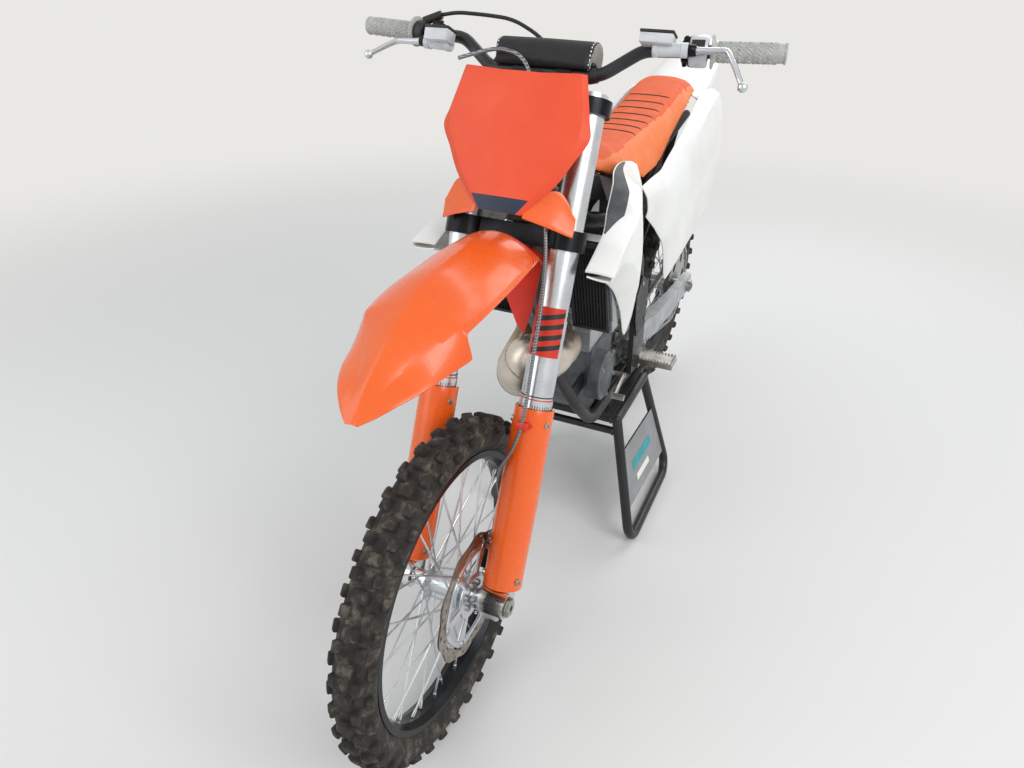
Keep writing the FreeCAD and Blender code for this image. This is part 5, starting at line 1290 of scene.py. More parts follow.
padShape = {
    # offsets from the bar's middle in the fork's frame, (lead, rise)
    "barLead": 14, "barHeight": 972, "half": 94,
    "section": ((-26, -6), (-36, 6), (-37, 26), (-35, 44), (-22, 57), (-6, 57.5), (8, 55), (22, 44), (25, 26),
                (25, 6), (16, -6), (-6, -7)),
    "voxel": 0.004, "pressure": 5.0, "moveLimit": 5.0, "fill": 0.8,
    "stitches": 22,
}


def makePad(shape):
    rings = []
    for k in range(21):
        y = -shape["half"] + 2 * shape["half"] * k / 20
        rings.append([Vector((shape["barLead"] + lead, y, shape["barHeight"] + rise))
                      for lead, rise in shape["section"]])
    pad = closedForm("barPadCover", rings)
    place(pad, fork)
    # the slot under it takes the bar and its clamps
    slot = begin("cube", "padSlot", size=1, location=(shape["barLead"], 0, shape["barHeight"] - 4),
                 scale=(34.6, 2 * shape["half"] + 20, 44))
    place(slot, Matrix.Identity(4))
    place(slot, fork)
    pick(pad)
    modify(pad, "BOOLEAN", operation="DIFFERENCE", object=slot, solver="EXACT")
    bpy.data.objects.remove(slot)
    puffed(pad, shape["voxel"], shape["pressure"], shape["moveLimit"])
    dress(pad, "blackPadCover", "steering", "bar_pad")
    forkY = (fork.to_3x3() @ Vector((0, 1, 0))).normalized()
    paint(pad, "greyPadEnd", lambda face: abs(face.normal.dot(forkY)) > 0.86)
    bpy.context.view_layer.update()
    # white stitches round each end of the sleeve
    stitches = []
    centre = (shape["barLead"] - 6, shape["barHeight"] + 26)
    for side in (1, -1):
        for k in range(shape["stitches"]):
            angle = radians(-52 + 284 * k / (shape["stitches"] - 1))
            outward = Vector((cos(angle), 0, sin(angle)))
            start = Vector((centre[0], side * (shape["half"] - 5.5), centre[1])) + outward * 80
            origin = fork @ start
            way = (fork.to_3x3() @ -outward).normalized()
            hit, spot, normal, _ = pad.ray_cast(origin, way)
            if not hit:
                continue
            stitch = block("padStitch", (1.2, 1.9, 3.6), bevel=0.5, segments=1)
            turn = Vector((1, 0, 0)).rotation_difference(normal).to_matrix().to_4x4()
            place(stitch, Matrix.Translation(spot) @ turn @ Matrix.Scale(0.001, 4))
            stitches.append(stitch)
    thread = joined("padStitches", stitches)
    dress(thread, "whitePolypropylene", "steering")


makePad(padShape)
print("seat and bar pad done")

# bars and controls, in the fork's frame; start and end are those of the left bar's outer run
barShape = {
    "start": (6, 172, 1023), "end": (-22.5, 399, 1041), "gripFoot": 282, "gripEnd": 403,
    "gripRadius": 15.4, "ridges": 16, "throttleAt": 264,
    "collar": {"left": 246, "width": 32, "radius": 26},
}


def alongBar(across):
    start, end = Vector(barShape["start"]), Vector(barShape["end"])
    share = (across - start.y) / (end.y - start.y)
    return start + (end - start) * share, (end - start).normalized()


def onBar(across):
    # frame on the bar: x along it outwards, z up, for the left hand
    spot, way = alongBar(across)
    side = Vector((1, 0, 0))
    up = way.cross(side).normalized() * -1
    side = up.cross(way).normalized() * -1
    turn = Matrix((way, side, way.cross(side))).transposed().to_4x4()
    return Matrix.Translation(spot) @ turn


def turnedAlong(name, outline, steps):
    # turns (distance, radius) about the x axis
    piece = spun(name, [(distance, max(radius, 0.01)) for distance, radius in outline], steps)
    place(piece, Matrix(((0, 1, 0, 0), (1, 0, 0, 0), (0, 0, 1, 0), (0, 0, 0, 1))))
    editFaces(piece, lambda face: True, ("normals_make_consistent", {"inside": False}))
    return piece


def makeGrips(shape):
    radius = shape["gripRadius"]
    length = shape["gripEnd"] - shape["gripFoot"]
    sleeve = turnedAlong("grip", [(0, 11.1), (0, 25), (1, 27), (3.2, 27), (4.4, 25), (6, 18.5), (9, radius),
                                  (length - 4, radius), (length - 3, radius + 1.6),
                                  (length - 0.8, radius + 1.6),
                                  (length, radius), (length, 0)], 48)
    parts = [sleeve]
    # waffle of short raised ribs all round the grip
    rib = block("waffle", (8.4, 1.5, 1.9), bevel=0.45, segments=1)
    count = 12
    for i in range(count):
        for k in range(shape["ridges"]):
            turn = 2 * pi * k / shape["ridges"] + (pi / shape["ridges"] if i % 2 else 0)
            tilt = radians(38 if i % 2 else -38)
            matrix = (Matrix.Translation((14 + i * (length - 24) / count, 0, 0))
                      @ Matrix.Rotation(turn, 4, "X")
                      @ Matrix.Translation((0, 0, radius + 0.5)) @ Matrix.Rotation(tilt, 4, "Z"))
            parts.append(copied(rib, "waffle", matrix))
    bpy.data.objects.remove(rib)
    grip = joined("gripPair", parts)
    place(grip, onBar(shape["gripFoot"]))
    smooth(grip, 40)
    withTwin(grip)
    place(grip, fork)
    dress(grip, "greyGripRubber", "steering", "grips")


makeGrips(barShape)


def loftedBar(name, points, sizes, steps=14, rounds=14):
    # forged bar through points, with an oval section (half width, half height) at each
    count = len(points) - 1
    rings = []
    for i in range(steps * count + 1):
        t = i / steps
        spot = Vector([smoothBetween([p[k] for p in points], t) for k in range(3)])
        t2 = min(t + 0.05, count)
        t1 = max(t - 0.05, 0)
        way = (Vector([smoothBetween([p[k] for p in points], t2) for k in range(3)])
               - Vector([smoothBetween([p[k] for p in points], t1) for k in range(3)])).normalized()
        side = way.cross(Vector((0, 0, 1))).normalized()
        up = side.cross(way)
        wide = smoothBetween([s[0] for s in sizes], t)
        high = smoothBetween([s[1] for s in sizes], t)
        rings.append([spot + side * wide * cos(2 * pi * k / rounds) + up * high * sin(2 * pi * k / rounds)
                      for k in range(rounds)])
    piece = closedForm(name, rings)
    smooth(piece, 50)
    return piece


controlShapes = {
    "clutch": {"perch": 245, "drop": 0.25, "cup": (5, 7, 6), "cupSize": (30, 56, 21), "end": (40, 352, 968)},
    "brake": {"perch": 236, "drop": 0.9, "cup": (13, 20, 0), "cupSize": (34, 48, 26), "end": (42, 352, 970)},
}


def makeControl(name, shape, mirror):
    perch, way = alongBar(shape["perch"])
    ahead = Vector((1, 0, -shape["drop"])).normalized()
    bodyIn = perch + ahead * 34 - way * 52
    bodyOut = perch + ahead * 32 + way * 12
    turn = onBar(shape["perch"]).to_3x3().to_4x4()
    # split clamp with its two bolts
    ring = turnedAlong("clampRing",
                       [(-11, 11.2), (-11, 16), (-9.5, 17.2), (9.5, 17.2), (11, 16), (11, 11.2)], 36)
    ears = []
    for high in (16.5, -16.5):
        ear = block("clampEar", (19, 20, 9), Vector((0, 0, high)), 2)
        ears.append(ear)
        for across in (-4.6, 4.6):
            bolt = turnedAlong("clampBolt",
                               [(0, 0), (0, 3.4), (3.4, 3.8), (4, 3.2), (4, 1.8), (1.6, 1.6), (1.6, 0)],
                               12)
            sign = 1 if high > 0 else -1
            spot = Matrix.Translation((across, 0, high + sign * 4.2))
            place(bolt, spot @ Matrix.Rotation(-sign * pi / 2, 4, "Y"))
            ears.append(bolt)
    clampPiece = joined(name + "Clamp", [ring] + ears)
    place(clampPiece, Matrix.Translation(perch) @ turn)
    arm = loftedBar("controlArm", [tuple(perch + ahead * 15), tuple(perch + ahead * 30)],
                    [(13, 9), (12, 9)], 3, 12)
    head = loftedBar("pivotHead", [tuple(bodyOut - way * 14 - ahead * 6), tuple(bodyOut - way * 2),
                                   tuple(bodyOut + way * 9 + ahead * 3)],
                     [(13, 9.5), (14, 10), (8, 8.5)], 6, 14)
    perchBody = joined(name + "Perch", [clampPiece, arm, head])
    # master cylinder: barrel, end cap and the square cup with its lid
    barrelTurn = Matrix((way, ahead.cross(way).normalized().cross(way) * -1,
                         way.cross(ahead.cross(way).normalized().cross(way) * -1))).transposed().to_4x4()
    length = (bodyOut - bodyIn).length
    barrel = turnedAlong("masterBarrel",
                         [(0, 0), (0, 9), (1.5, 11.4), (5, 12), (9, 12), (10, 10.8), (length - 18, 10.8),
                          (length - 17, 12), (length - 6, 12), (length - 5, 0)], 28)
    place(barrel, Matrix.Translation(bodyIn) @ barrelTurn)
    top = bodyIn + Vector(shape["cup"])
    sizeX, sizeY, sizeZ = shape["cupSize"]
    cup = block("masterCup", (sizeX, sizeY, sizeZ - 5), top + Vector((0, 0, (sizeZ - 5) / 2)), 2.2)
    master = joined(name + "Master", [barrel, cup])
    lid = block(name + "Lid", (sizeX + 1.6, sizeY + 1.6, 4.6), top + Vector((0, 0, sizeZ - 2.6)), 1.2)
    screws = []
    for a in (-1, 1):
        screw = turnedAlong("lidScrew", [(0, 0), (0, 3.2), (1.4, 3.4), (1.9, 2.8), (1.9, 0)], 12)
        place(screw, Matrix.Translation(top + Vector((0, a * (sizeY / 2 - 6), sizeZ - 0.8)))
              @ Matrix.Rotation(-pi / 2, 4, "Y"))
        screws.append(screw)
    screwSet = joined(name + "LidScrews", screws)
    # forged lever: pivot eye, knee, blade and ball end
    pivot = bodyOut
    knee = pivot + way * 55 + ahead * 12
    end = Vector(shape["end"])
    span = end - knee
    lever = loftedBar("leverBlade", [tuple(pivot + way * 2), tuple(pivot + way * 24 + ahead * 6), tuple(knee),
                                     tuple(knee + span * 0.3 + way * 4), tuple(knee + span * 0.68 + way * 2),
                                     tuple(end)],
                      [(8, 6.4), (7.4, 5.6), (7.6, 5.2), (7.0, 4.8), (6.2, 4.6), (5.4, 4.8)], 8, 14)
    ball = begin("uv_sphere", "leverBall", segments=20, ring_count=12, radius=8.3, location=end)
    place(ball, Matrix.Identity(4))
    eye = turnedAlong("leverEye", [(-7, 0), (-7, 5.5), (-5.6, 7.2), (5.6, 7.2), (7, 5.5), (7, 0)], 20)
    place(eye, Matrix.Translation(pivot + way * 4) @ Matrix.Rotation(-pi / 2, 4, "Y"))
    leverPiece = joined(name + "Lever", [lever, ball, eye])
    for piece, finish in ((perchBody, "blackAnodised"), (master, "collarPlastic"), (lid, "blackNylon"),
                          (screwSet, "zincSteel"), (leverPiece, "machinedAluminium")):
        smooth(piece, 32)
        if mirror:
            piece.data.transform(acrossMiddle)
            piece.data.flip_normals()
        place(piece, fork)
        dress(piece, finish, "steering")
    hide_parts("hand_controls")


makeControl("clutch", controlShapes["clutch"], False)
makeControl("brake", controlShapes["brake"], True)


def makeCollar(shape):
    # two-part switch collar inside the left grip: pale shell with a dark band
    width, radius = shape["width"], shape["radius"]
    shell = turnedAlong("switchCollar",
                        [(0, 11.4), (0, radius - 8), (2, radius - 2), (6, radius), (width - 4, radius),
                         (width - 1, radius - 2), (width, 11.4)], 40)
    band = turnedAlong("switchCollarBand", [(4, radius - 3), (5, radius + 0.8), (width - 6, radius + 0.8),
                                            (width - 5, radius - 3)], 40)
    editFaces(band, lambda face: abs(face.center.z) > radius * 0.42, ("delete", {"type": "FACE"}))
    for piece, finish in ((shell, "collarPlastic"), (band, "blackNylon")):
        smooth(piece, 35)
        place(piece, onBar(shape["left"]))
        place(piece, fork)
        dress(piece, finish, "steering")


def makeThrottleCover(across):
    # cover of the throttle's cam housing, at the right grip
    cover = turnedAlong("throttleCover",
                        [(-3, 11.4), (-3, 18), (-1, 20), (1, 20.6), (14, 20.6), (17, 19), (18, 11.4)],
                        40)
    place(cover, onBar(across))
    smooth(cover, 35)
    cover.data.transform(acrossMiddle)
    cover.data.flip_normals()
    place(cover, fork)
    dress(cover, "blackNylon", "steering")


makeThrottleCover(barShape["throttleAt"])
makeCollar(barShape["collar"])
print("bars and controls done")

# frame, engine and exhaust details, in the bike's frame
lean = 0.2728
frontFrame = {"radiatorFoot": 672, "radiatorTop": 900, "radiatorLead": 224.7}


def radiatorLead(height):
    return frontFrame["radiatorLead"] + (height - frontFrame["radiatorFoot"]) * lean


def smoothLine(points, steps):
    # points along a smooth line through the given ones
    count = len(points) - 1
    return [Vector([smoothBetween([p[k] for p in points], i / steps) for k in range(3)])
            for i in range(steps * count + 1)]


def loftedPipe(name, rows, steps=8, rounds=28):
    # pressed pipe through (x, y, z, radius), its ends open inwards
    line = smoothLine([row[:3] for row in rows], steps)
    radii = [smoothBetween([row[3] for row in rows], i / steps) for i in range(len(line))]
    rings = []
    side = Vector((0, 1, 0))
    for i, spot in enumerate(line):
        way = (line[min(i + 1, len(line) - 1)] - line[max(i - 1, 0)]).normalized()
        side = (side - way * side.dot(way)).normalized()
        up = way.cross(side)
        rings.append([spot + (side * cos(2 * pi * k / rounds) + up * sin(2 * pi * k / rounds)) * radii[i]
                      for k in range(rounds)])
    piece = closedForm(name, rings)
    smooth(piece, 50)
    return piece, line, radii


def hoopOn(name, line, radii, index, wide, proud, rounds=28):
    # weld bead or clamp band round a pipe
    way = (line[min(index + 1, len(line) - 1)] - line[max(index - 1, 0)]).normalized()
    outline = []
    for angle in range(0, 360, 60):
        outline.append((wide * cos(radians(angle)), radii[index] + proud * (0.4 + sin(radians(angle)))))
    hoop = turnedAlong(name, outline + outline[:1], rounds)
    turn = Vector((1, 0, 0)).rotation_difference(way).to_matrix().to_4x4()
    return place(hoop, Matrix.Translation(line[index]) @ turn)


pipeShape = {
    "rows": ((148.3, 0, 613, 23), (172, 0, 613, 23), (200, 40, 612, 25), (246, 51, 620, 28),
             (298, 43, 632, 42), (336, 10, 634, 55), (332, -12, 602, 57), (288, -50, 564, 48),
             (206, -92, 552, 31), (80, -110, 574, 23), (-60, -130, 632, 18), (-150, -130, 678, 17),
             (-205, -108, 712, 17), (-246, -103, 740, 17)),
    "welds": (12, 26, 36, 44, 52, 60, 70),
}


def makeExhaust(shape):
    pipe, line, radii = loftedPipe("expansionChamber", shape["rows"])
    place(pipe, bike)
    dress(pipe, "heatTintedSteel", "chassis", "exhaust_chamber")
    beads = [hoopOn("pipeWeld", line, radii, index, 1.9, 0.9) for index in shape["welds"]]
    weldSet = joined("pipeWelds", beads)
    smooth(weldSet, 60)
    place(weldSet, bike)
    dress(weldSet, "barePipeSteel", "chassis")


def heatTinted(name, finish):
    # bare deep-drawn steel: burnt behind, straw further forward, pale at its front bend
    material = newMaterial(name)
    place = addNode(material, "TexCoord", {})
    apart = addNode(material, "SeparateXYZ", {}, {"Vector": (place, "Object")})
    cloud = addNode(material, "TexNoise", {"Scale": 1000 / finish["cloudMm"], "Detail": 4.0},
                    {"Vector": (place, "Object")})
    wander = addNode(material, "MapRange", {"To Min": -0.03, "To Max": 0.03}, {"Value": (cloud, "Fac")})
    heat = addNode(material, "Math", {"operation": "ADD"}, {0: (apart, "X"), 1: (wander, "Result")})
    warm = addNode(material, "MapRange", {"From Min": finish["hotX"], "From Max": finish["coolX"]},
                   {"Value": (heat, "Value")})
    tone = addNode(material, "ValToRGB", {"stops": [(0.0, finish["burnt"]), (0.35, finish["straw"]),
                                                    (0.7, finish["colour"]), (1.0, finish["light"])]},
                   {"Fac": (warm, "Result")})
    spots = addNode(material, "ValToRGB", {"stops": [(0.3, "#D9D4CC"), (0.6, "#FFFFFF")]},
                    {"Fac": (cloud, "Fac")})
    mixed = addNode(material, "Mix", {"data_type": "RGBA", "blend_type": "MULTIPLY", 0: 0.7},
                    {6: (tone, "Color"), 7: (spots, "Color")})
    streak = addNode(material, "TexNoise", {"Scale": 1000 / finish["streakMm"], "Detail": 5.0},
                     {"Vector": (place, "Object")})
    gloss = addNode(material, "MapRange", {"From Min": 0.3, "From Max": 0.7, "To Min": 0.26, "To Max": 0.42},
                    {"Value": (streak, "Fac")})
    bump = addNode(material, "Bump", {"Strength": 0.1, "Distance": 0.0003}, {"Height": (streak, "Fac")})
    shader = addNode(material, "BsdfPrincipled", {"Metallic": 0.9},
                     {"Base Color": (mixed, 2), "Roughness": (gloss, "Result"), "Normal": (bump, "Normal")})
    return closeMaterial(material, shader)


finishes["heatTintedSteel"] = heatTinted("heatTintedSteel", {
    "cloudMm": 60, "streakMm": 4, "hotX": 0.14, "coolX": 0.34, "burnt": "#7C6A58", "straw": "#A28E74",
    "colour": "#C8BBAA", "light": "#D6CDC2"})
makeExhaust(pipeShape)

radiatorShape = {"louvreInner": 58, "louvreOuter": 140, "slats": 11, "capBehind": 16, "capAcross": -100}


def makeRadiators(shape):
    # louvre guard: a bordered frame of slats that lean outwards, with two cross ribs
    inner, outer = shape["louvreInner"], shape["louvreOuter"]
    foot, top = frontFrame["radiatorFoot"] + 3, frontFrame["radiatorTop"] - 4
    middle = (foot + top) / 2
    height = top - foot
    tilt = Matrix.Rotation(atan2(lean, 1), 4, "Y")
    length = height * (1 + lean * lean) ** 0.5
    parts = []
    for across in (inner + 3, outer - 3):
        parts.append(block("louvreRail", (10, 6, length), (0, across, 0), 1.4))
    for share in (-0.5, 0.5):
        parts.append(block("louvreEnd", (10, outer - inner, 8),
                           (0, (inner + outer) / 2, share * (length - 8)), 1.4))
    for share in (-0.17, 0.17):
        parts.append(block("louvreRib", (6, outer - inner - 4, 3),
                           (-1, (inner + outer) / 2, share * length), 0.8, 1))
    slat = block("louvreSlat", (11, 1.8, length - 8), (0, 0, 0), 0.7, 1)
    for i in range(shape["slats"]):
        across = inner + 8 + (outer - inner - 16) * i / (shape["slats"] - 1)
        turned = Matrix.Translation((0, across, 0)) @ Matrix.Rotation(radians(-32), 4, "Z")
        parts.append(copied(slat, "louvreSlat", turned))
    bpy.data.objects.remove(slat)
    guard = joined("radiatorLouvres", parts)
    smooth(guard, 30)
    place(guard, Matrix.Translation((radiatorLead(middle) + 5.3, 0, middle)) @ tilt)
    withTwin(guard)
    place(guard, bike)
    dress(guard, "blackNylon", "chassis", "radiator_louvres")
    # filler cap on the right radiator
    cap = spun("fillerCap", [(0, 0.01), (0, 16), (3, 19), (9, 19), (10, 17), (12, 17), (12, 0.01)], 24)
    capTop = frontFrame["radiatorTop"]
    spot = (radiatorLead(capTop) - shape["capBehind"], shape["capAcross"], capTop - 1)
    place(cap, Matrix.Translation(spot) @ Matrix.Rotation(pi / 2, 4, "X"))
    smooth(cap, 35)
    place(cap, bike)
    dress(cap, "machinedAluminium", "chassis")


makeRadiators(radiatorShape)

coverShape = {
    "ignition": {"spot": (78, 92, 462), "boltAcross": 94.6,
                 "bolts": ((40, 510), (118, 500), (128, 430), (78, 408), (28, 440))},
    "clutch": {"spot": (-8, -116, 458), "boltAcross": -118.6, "boltRing": 70, "bolts": 8},
    "head": {"x": 66, "nutRing": 44, "nuts": 6, "nutHigh": 741.6, "capHigh": 760},
    "steps": {"first": 562, "apart": 40, "count": 4, "size": (119, 127, 3.4)},
}


def makeEngineDetails(shape):
    x, y, z = shape["ignition"]["spot"]
    side = Matrix.Rotation(pi, 4, "Z")
    # pressed ignition cover with a stepped rim and a domed middle
    dome = spun("ignitionDome", [(-1, 60.6), (0, 61), (1.8, 60.4), (3, 58), (3.4, 50), (1.6, 48), (1.8, 44),
                                 (5, 40), (6.8, 24), (7.2, 0.01), (-1, 0.01)], 48)
    place(dome, Matrix.Translation((x, y, z)))
    smooth(dome, 30)
    place(dome, bike)
    dress(dome, "engineCastings", "chassis")
    cover = spun("clutchDome", [(-1, 64), (0, 64), (1.6, 62), (2.4, 52), (1.4, 50), (1.6, 46), (4.4, 42),
                                (5.4, 20), (5.6, 0.01), (-1, 0.01)], 48)
    cx, cy, cz = shape["clutch"]["spot"]
    place(cover, Matrix.Translation((cx, cy, cz)) @ side)
    smooth(cover, 30)
    place(cover, bike)
    dress(cover, "engineCastings", "chassis")
    # flanged screws on both covers and nuts on the head
    screws = []
    screw = spun("coverScrew", [(0, 0.01), (0, 7), (1.4, 7), (2, 5), (5, 5), (5.6, 4.2), (5.6, 2.4), (3, 2.2),
                                (3, 0.01)], 12)
    for px, pz in shape["ignition"]["bolts"]:
        screws.append(copied(screw, "coverScrew",
                             Matrix.Translation((px, shape["ignition"]["boltAcross"], pz))))
    ring = shape["clutch"]["boltRing"]
    for i in range(shape["clutch"]["bolts"]):
        turn = radians(i * 45 + 10)
        spot = (cx + ring * cos(turn), shape["clutch"]["boltAcross"], cz + ring * sin(turn))
        screws.append(copied(screw, "coverScrew", Matrix.Translation(spot) @ side))
    upright = Matrix.Rotation(pi / 2, 4, "X")
    head = shape["head"]
    for i in range(head["nuts"]):
        turn = radians(i * 60 + 30)
        spot = (head["x"] + head["nutRing"] * cos(turn), head["nutRing"] * sin(turn), head["nutHigh"])
        screws.append(copied(screw, "headNut", Matrix.Translation(spot) @ upright))
    bpy.data.objects.remove(screw)
    hardware = joined("engineScrews", screws)
    smooth(hardware, 30)
    place(hardware, bike)
    dress(hardware, "zincSteel", "chassis")
    # steps round the barrel
    ribs = []
    for i in range(shape["steps"]["count"]):
        high = shape["steps"]["first"] + i * shape["steps"]["apart"]
        ribs.append(block("barrelStep", shape["steps"]["size"], (head["x"], 0, high), 1.4))
    steps = joined("barrelSteps", ribs)
    smooth(steps, 35)
    place(steps, bike)
    dress(steps, "castAluminium", "chassis")
    cap = spun("plugCap",
               [(0, 0.01), (0, 12.4), (3, 13), (18, 12), (22, 9), (38, 8.4), (40, 7), (40, 0.01)], 24)
    place(cap, Matrix.Translation((head["x"], 0, head["capHigh"])) @ upright)
    smooth(cap, 35)
    place(cap, bike)
    dress(cap, "redPlasticAndPaintedShade", "chassis")


makeEngineDetails(coverShape)
print("exhaust, radiators and engine done")

# chain, shock, foot rests and rear end, in the bike's frame
chainShape = {
    "across": 66.5, "drive": (-92, 430, 33.2), "wheel": (-742.5, 340, 126.4), "pitch": 15.875,
    "plate": (21.5, 1.6, 13.6), "rollerRadius": 5, "rollerWidth": 6.4, "gauge": 4.6,
}


def chainSpots(shape):
    # link middles: sampled along the outline of the two pitch circles joined by their outer tangents
    dx, dz, small = shape["drive"]
    wx, wz, large = shape["wheel"]
    gap = hypot(wx - dx, wz - dz)
    axis = atan2(dz - wz, dx - wx)
    lean = atan2(large - small, (gap ** 2 - (large - small) ** 2) ** 0.5)
    top = axis + pi / 2 - lean
    bottom = axis - pi / 2 + lean
    outline = []
    steps = 160
    for i in range(steps + 1):
        turn = top + (bottom + 2 * pi - top) * i / steps
        outline.append(Vector((wx + large * cos(turn), 0, wz + large * sin(turn))))
    for i in range(steps + 1):
        turn = bottom + (top - bottom) * i / steps
        outline.append(Vector((dx + small * cos(turn), 0, dz + small * sin(turn))))
    outline.append(outline[0].copy())
    reach = [0.0]
    for a, b in zip(outline, outline[1:]):
        reach.append(reach[-1] + (b - a).length)
    count = 2 * round(reach[-1] / shape["pitch"] / 2)
    spots = []
    k = 0
    for i in range(count):
        goal = reach[-1] * i / count
        while reach[k + 1] < goal:
            k += 1
        share = (goal - reach[k]) / (reach[k + 1] - reach[k])
        spots.append(outline[k].lerp(outline[k + 1], share))
    return spots


def makeChain(shape):
    # roller chain: rounded plates in pairs, inner and outer in turn, on steel rollers
    length, thick, high = shape["plate"]
    plate = begin("circle", "chainPlate", vertices=8, radius=1, fill_type="NGON")
    outline = ((-length / 2, -2.4), (-length / 2 + 3, -high / 2), (0, -high / 2 + 1.6),
               (length / 2 - 3, -high / 2),
               (length / 2, 2.4), (length / 2 - 3, high / 2), (0, high / 2 - 1.6),
               (-length / 2 + 3, high / 2))
    for vertex, (x, z) in zip(plate.data.vertices, outline):
        vertex.co = (x, 0, z)
    plate.data.update()
    modify(plate, "SOLIDIFY", thickness=thick, offset=0)
    editFaces(plate, lambda face: True, ("normals_make_consistent", {"inside": False}))
    half = shape["rollerWidth"] / 2
    roller = spun("chainRoller",
                  [(-half - 3.4, 0.01), (-half - 3.4, 2.6), (-half, 2.6), (-half, shape["rollerRadius"]),
                   (half, shape["rollerRadius"]), (half, 2.6), (half + 3.4, 2.6),
                   (half + 3.4, 0.01)], 8)
    spots = chainSpots(shape)
    parts = []
    for i, spot in enumerate(spots):
        after = spots[(i + 1) % len(spots)]
        turn = Matrix.Rotation(-atan2(after.z - spot.z, after.x - spot.x), 4, "Y")
        middle = (spot + after) / 2
        aside = shape["gauge"] + (thick + 0.1 if i % 2 else 0)
        for side in (1, -1):
            shift = Matrix.Translation((middle.x, shape["across"] + side * aside, middle.z))
            parts.append(copied(plate, "chainPlate", shift @ turn))
        # round the wheel's sprocket the teeth stand where the rollers would be
        if hypot(spot.x - shape["wheel"][0], spot.z - shape["wheel"][1]) > shape["wheel"][2] + 2:
            parts.append(copied(roller, "chainRoller", Matrix.Translation((spot.x, shape["across"], spot.z))))
    for piece in (plate, roller):
        bpy.data.objects.remove(piece)
    chain = joined("driveChain", parts)
    place(chain, bike)
    dress(chain, "zincSteel", "chassis", "chain")


makeChain(chainShape)

shockShape = {
    "top": (-170, 0, 748), "foot": (-240, 0, 400), "wire": 5.6, "coil": 31, "turns": 8.0,
    "from": 0.26, "to": 0.86,
}


def makeShock(shape):
    top, foot = Vector(shape["top"]), Vector(shape["foot"])
    length = (foot - top).length
    turn = Vector((1, 0, 0)).rotation_difference((foot - top).normalized()).to_matrix().to_4x4()
    frameOf = Matrix.Translation(top) @ turn
    first, last = length * shape["from"], length * shape["to"]
    rings = []
    steps = int(shape["turns"] * 20)
    for i in range(steps + 1):
        angle = 2 * pi * shape["turns"] * i / steps
        along = first + (last - first) * i / steps
        out = Vector((0, cos(angle), sin(angle)))
        rings.append([Vector((along, 0, 0)) + out * (shape["coil"] + shape["wire"] * cos(2 * pi * k / 10))
                      + Vector((shape["wire"] * sin(2 * pi * k / 10), 0, 0)) for k in range(10)])
    coil = closedForm("shockSpring", rings)
    smooth(coil, 60)
    body = turnedAlong("shockBody",
                       [(-16, 0), (-16, 12), (14, 17), (20, 25), (34, 25), (36, 22), (first - 16, 22),
                        (first - 14, 38), (first - 6, 38), (first - 5, 34), (length * 0.55, 22),
                        (length * 0.55, 9), (last + 4, 9), (last + 6, 37), (last + 14, 37),
                        (last + 16, 20), (length + 8, 17), (length + 16, 12),
                        (length + 16, 0)], 32)
    smooth(body, 30)
    for piece, finish in ((coil, "whitePolypropylene"), (body, "machinedAluminium")):
        place(piece, frameOf)
        place(piece, bike)
        dress(piece, finish, "chassis")
    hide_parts("rear_shock")


makeShock(shockShape)

restShape = {"xs": (-178, -124), "ys": (119, 212), "high": 404}


def makeFootRests(shape):
    # toothed rim and cross bar on each foot rest
    (x0, x1), (y0, y1) = shape["xs"], shape["ys"]
    tooth = begin("cone", "restTooth", vertices=4, radius1=3.6, radius2=1.2, depth=6)
    place(tooth, Matrix.Identity(4))
    parts = []
    for i in range(11):
        y = y0 + 4 + (y1 - y0 - 8) * i / 10
        for x in (x0 + 3, x1 - 3):
            parts.append(copied(tooth, "restTooth", Matrix.Translation((x, y, shape["high"] + 2))))
    for i in range(4):
        x = x0 + 3 + (x1 - x0 - 6) * (i + 0.5) / 4
        parts.append(copied(tooth, "restTooth", Matrix.Translation((x, y1 - 4, shape["high"] + 2))))
    bpy.data.objects.remove(tooth)
    teeth = joined("restTeeth", parts)
    withTwin(teeth)
    place(teeth, bike)
    dress(teeth, "zincSteel", "chassis")


makeFootRests(restShape)

guideShape = {"bolts": ((-112, 106.6, 560), (-140, 110, 618), (-190, 110, 492))}


def makeRearEnd(shape):
    # flanged screws of the frame guards
    screws = []
    screw = spun("guardScrew",
                 [(0, 0.01), (0, 7), (1.4, 7), (2.4, 5.6), (2.8, 3), (1.6, 2.4), (1.6, 0.01)], 14)
    for spot in shape["bolts"]:
        screws.append(copied(screw, "guardScrew", Matrix.Translation(spot)))
    bpy.data.objects.remove(screw)
    hardware = joined("guardScrews", screws)
    smooth(hardware, 30)
    withTwin(hardware)
    place(hardware, bike)
    dress(hardware, "zincSteel", "chassis")


makeRearEnd(guideShape)
print("chain, shock and rear end done")

# paddock stand, in the floor's frame
standShape = {
    "top": {"front": 55, "rear": -185, "half": 124, "z": 355},
    "foot": {"front": 115, "rear": -269, "half": 206, "z": 13},
    # cross bars by their share of the way down the legs, and their radius
    "crossBars": ((0.0, 13), (0.1, 10)), "trayTop": 376,
    "plate": {"front": (0.27, 0.74), "rear": (0.32, 0.8)},
    "teal": {"u": (0.22, 0.74), "v": (0.34, 0.52)},
    "white": {"u": (0.30, 0.62), "v": (0.66, 0.78)},
    "matRibs": 9, "matHalf": 92, "matMargin": 15, "weldInset": 17.5,
}


def standLeg(shape, end, share):
    top, foot = shape["top"], shape["foot"]
    return Vector((top[end] + (foot[end] - top[end]) * share,
                   top["half"] + (foot["half"] - top["half"]) * share,
                   top["z"] + (foot["z"] - top["z"]) * share))


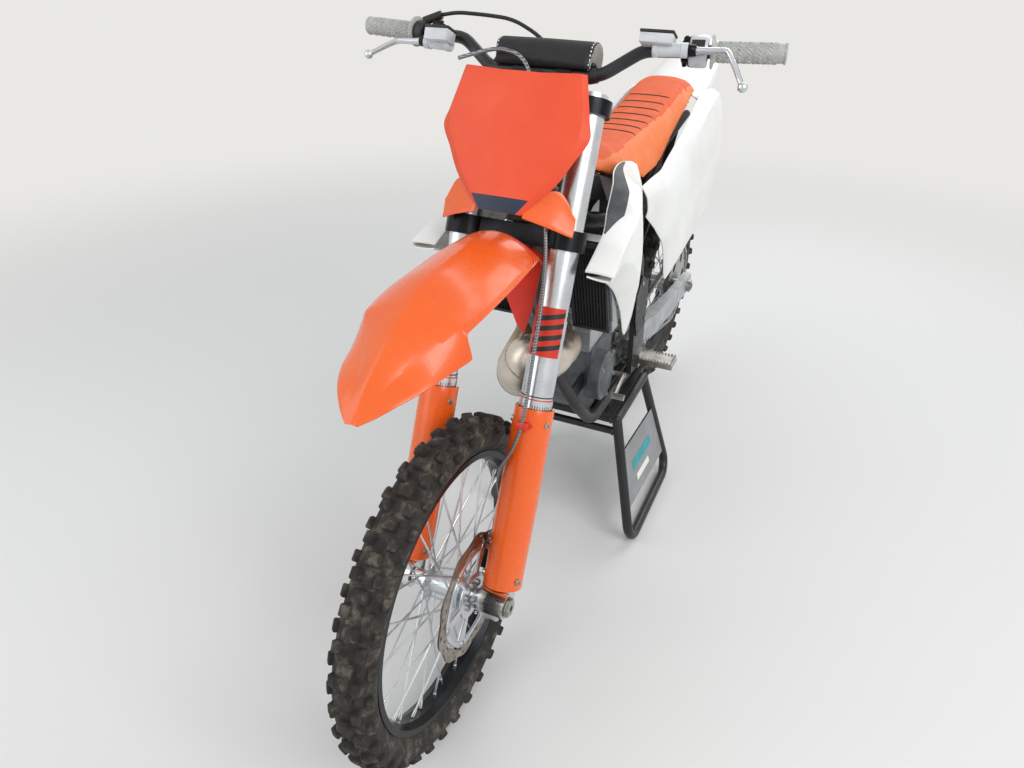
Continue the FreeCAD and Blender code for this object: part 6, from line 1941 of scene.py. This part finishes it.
def makeStand(shape):
    # pressed side plates with generic colour bars
    def face(lift):
        def point(u, v):
            front = standLeg(shape, "front", shape["plate"]["front"][0]
                             + (shape["plate"]["front"][1] - shape["plate"]["front"][0]) * v)
            rear = standLeg(shape, "rear", shape["plate"]["rear"][0]
                            + (shape["plate"]["rear"][1] - shape["plate"]["rear"][0]) * v)
            return front.lerp(rear, u) + Vector((0, 3.2, 1.1)) * (1 + lift)
        return point

    plate = sheetOf("standPlates", face(0.25), 12, 8)
    modify(plate, "SOLIDIFY", thickness=1.2, offset=-1.0)
    modify(plate, "BEVEL", width=0.5, segments=1, limit_method="ANGLE", angle_limit=radians(40))
    bars = []
    for key, finish in (("teal", "tealVinyl"), ("white", "whitePolypropylene")):
        (u0, u1), (v0, v1) = shape[key]["u"], shape[key]["v"]
        bar = strip("standBar", face(0.25), (((u0, v0), (u1, v0)), ((u0, v1), (u1, v1))), (18, 3), -1.5)
        modify(bar, "SOLIDIFY", thickness=0.5, offset=0)
        bar.name = "standBar" + key
        bars.append((bar, finish))
    for piece, finish in [(plate, "plateSteel")] + bars:
        smooth(piece, 40)
        if piece is plate:
            withTwin(piece)
        place(piece, ground)
        dress(piece, finish, "chassis")
    # ribbed rubber mat in the tray
    top = shape["top"]
    length = top["front"] - top["rear"] - 2 * shape["matMargin"]
    ribs = []
    for i in range(shape["matRibs"]):
        across = -shape["matHalf"] + 2 * shape["matHalf"] * i / (shape["matRibs"] - 1)
        ribs.append(block("matRib", (length, 11, 2.4), ((top["front"] + top["rear"]) / 2, across,
                                                        shape["trayTop"] + 1), 0.9, 1))
    mat = joined("trayMat", ribs)
    place(mat, ground)
    dress(mat, "blackRubber", "chassis")
    # weld beads where the cross bars meet the legs
    beads = []
    for end in ("front", "rear"):
        for share, radius in shape["crossBars"]:
            spot = standLeg(shape, end, share)
            bead = spun("standWeld",
                        [(0, radius - 0.5), (1.6, radius + 2.2), (4.6, radius + 2.2), (6.4, radius - 0.5)],
                        20)
            place(bead, Matrix.Translation((spot.x, spot.y - shape["weldInset"], spot.z)))
            beads.append(bead)
    welds = joined("standWelds", beads)
    smooth(welds, 60)
    withTwin(welds)
    place(welds, ground)
    dress(welds, "blackPowderCoat", "chassis")


makeStand(standShape)
print("paddock stand done")
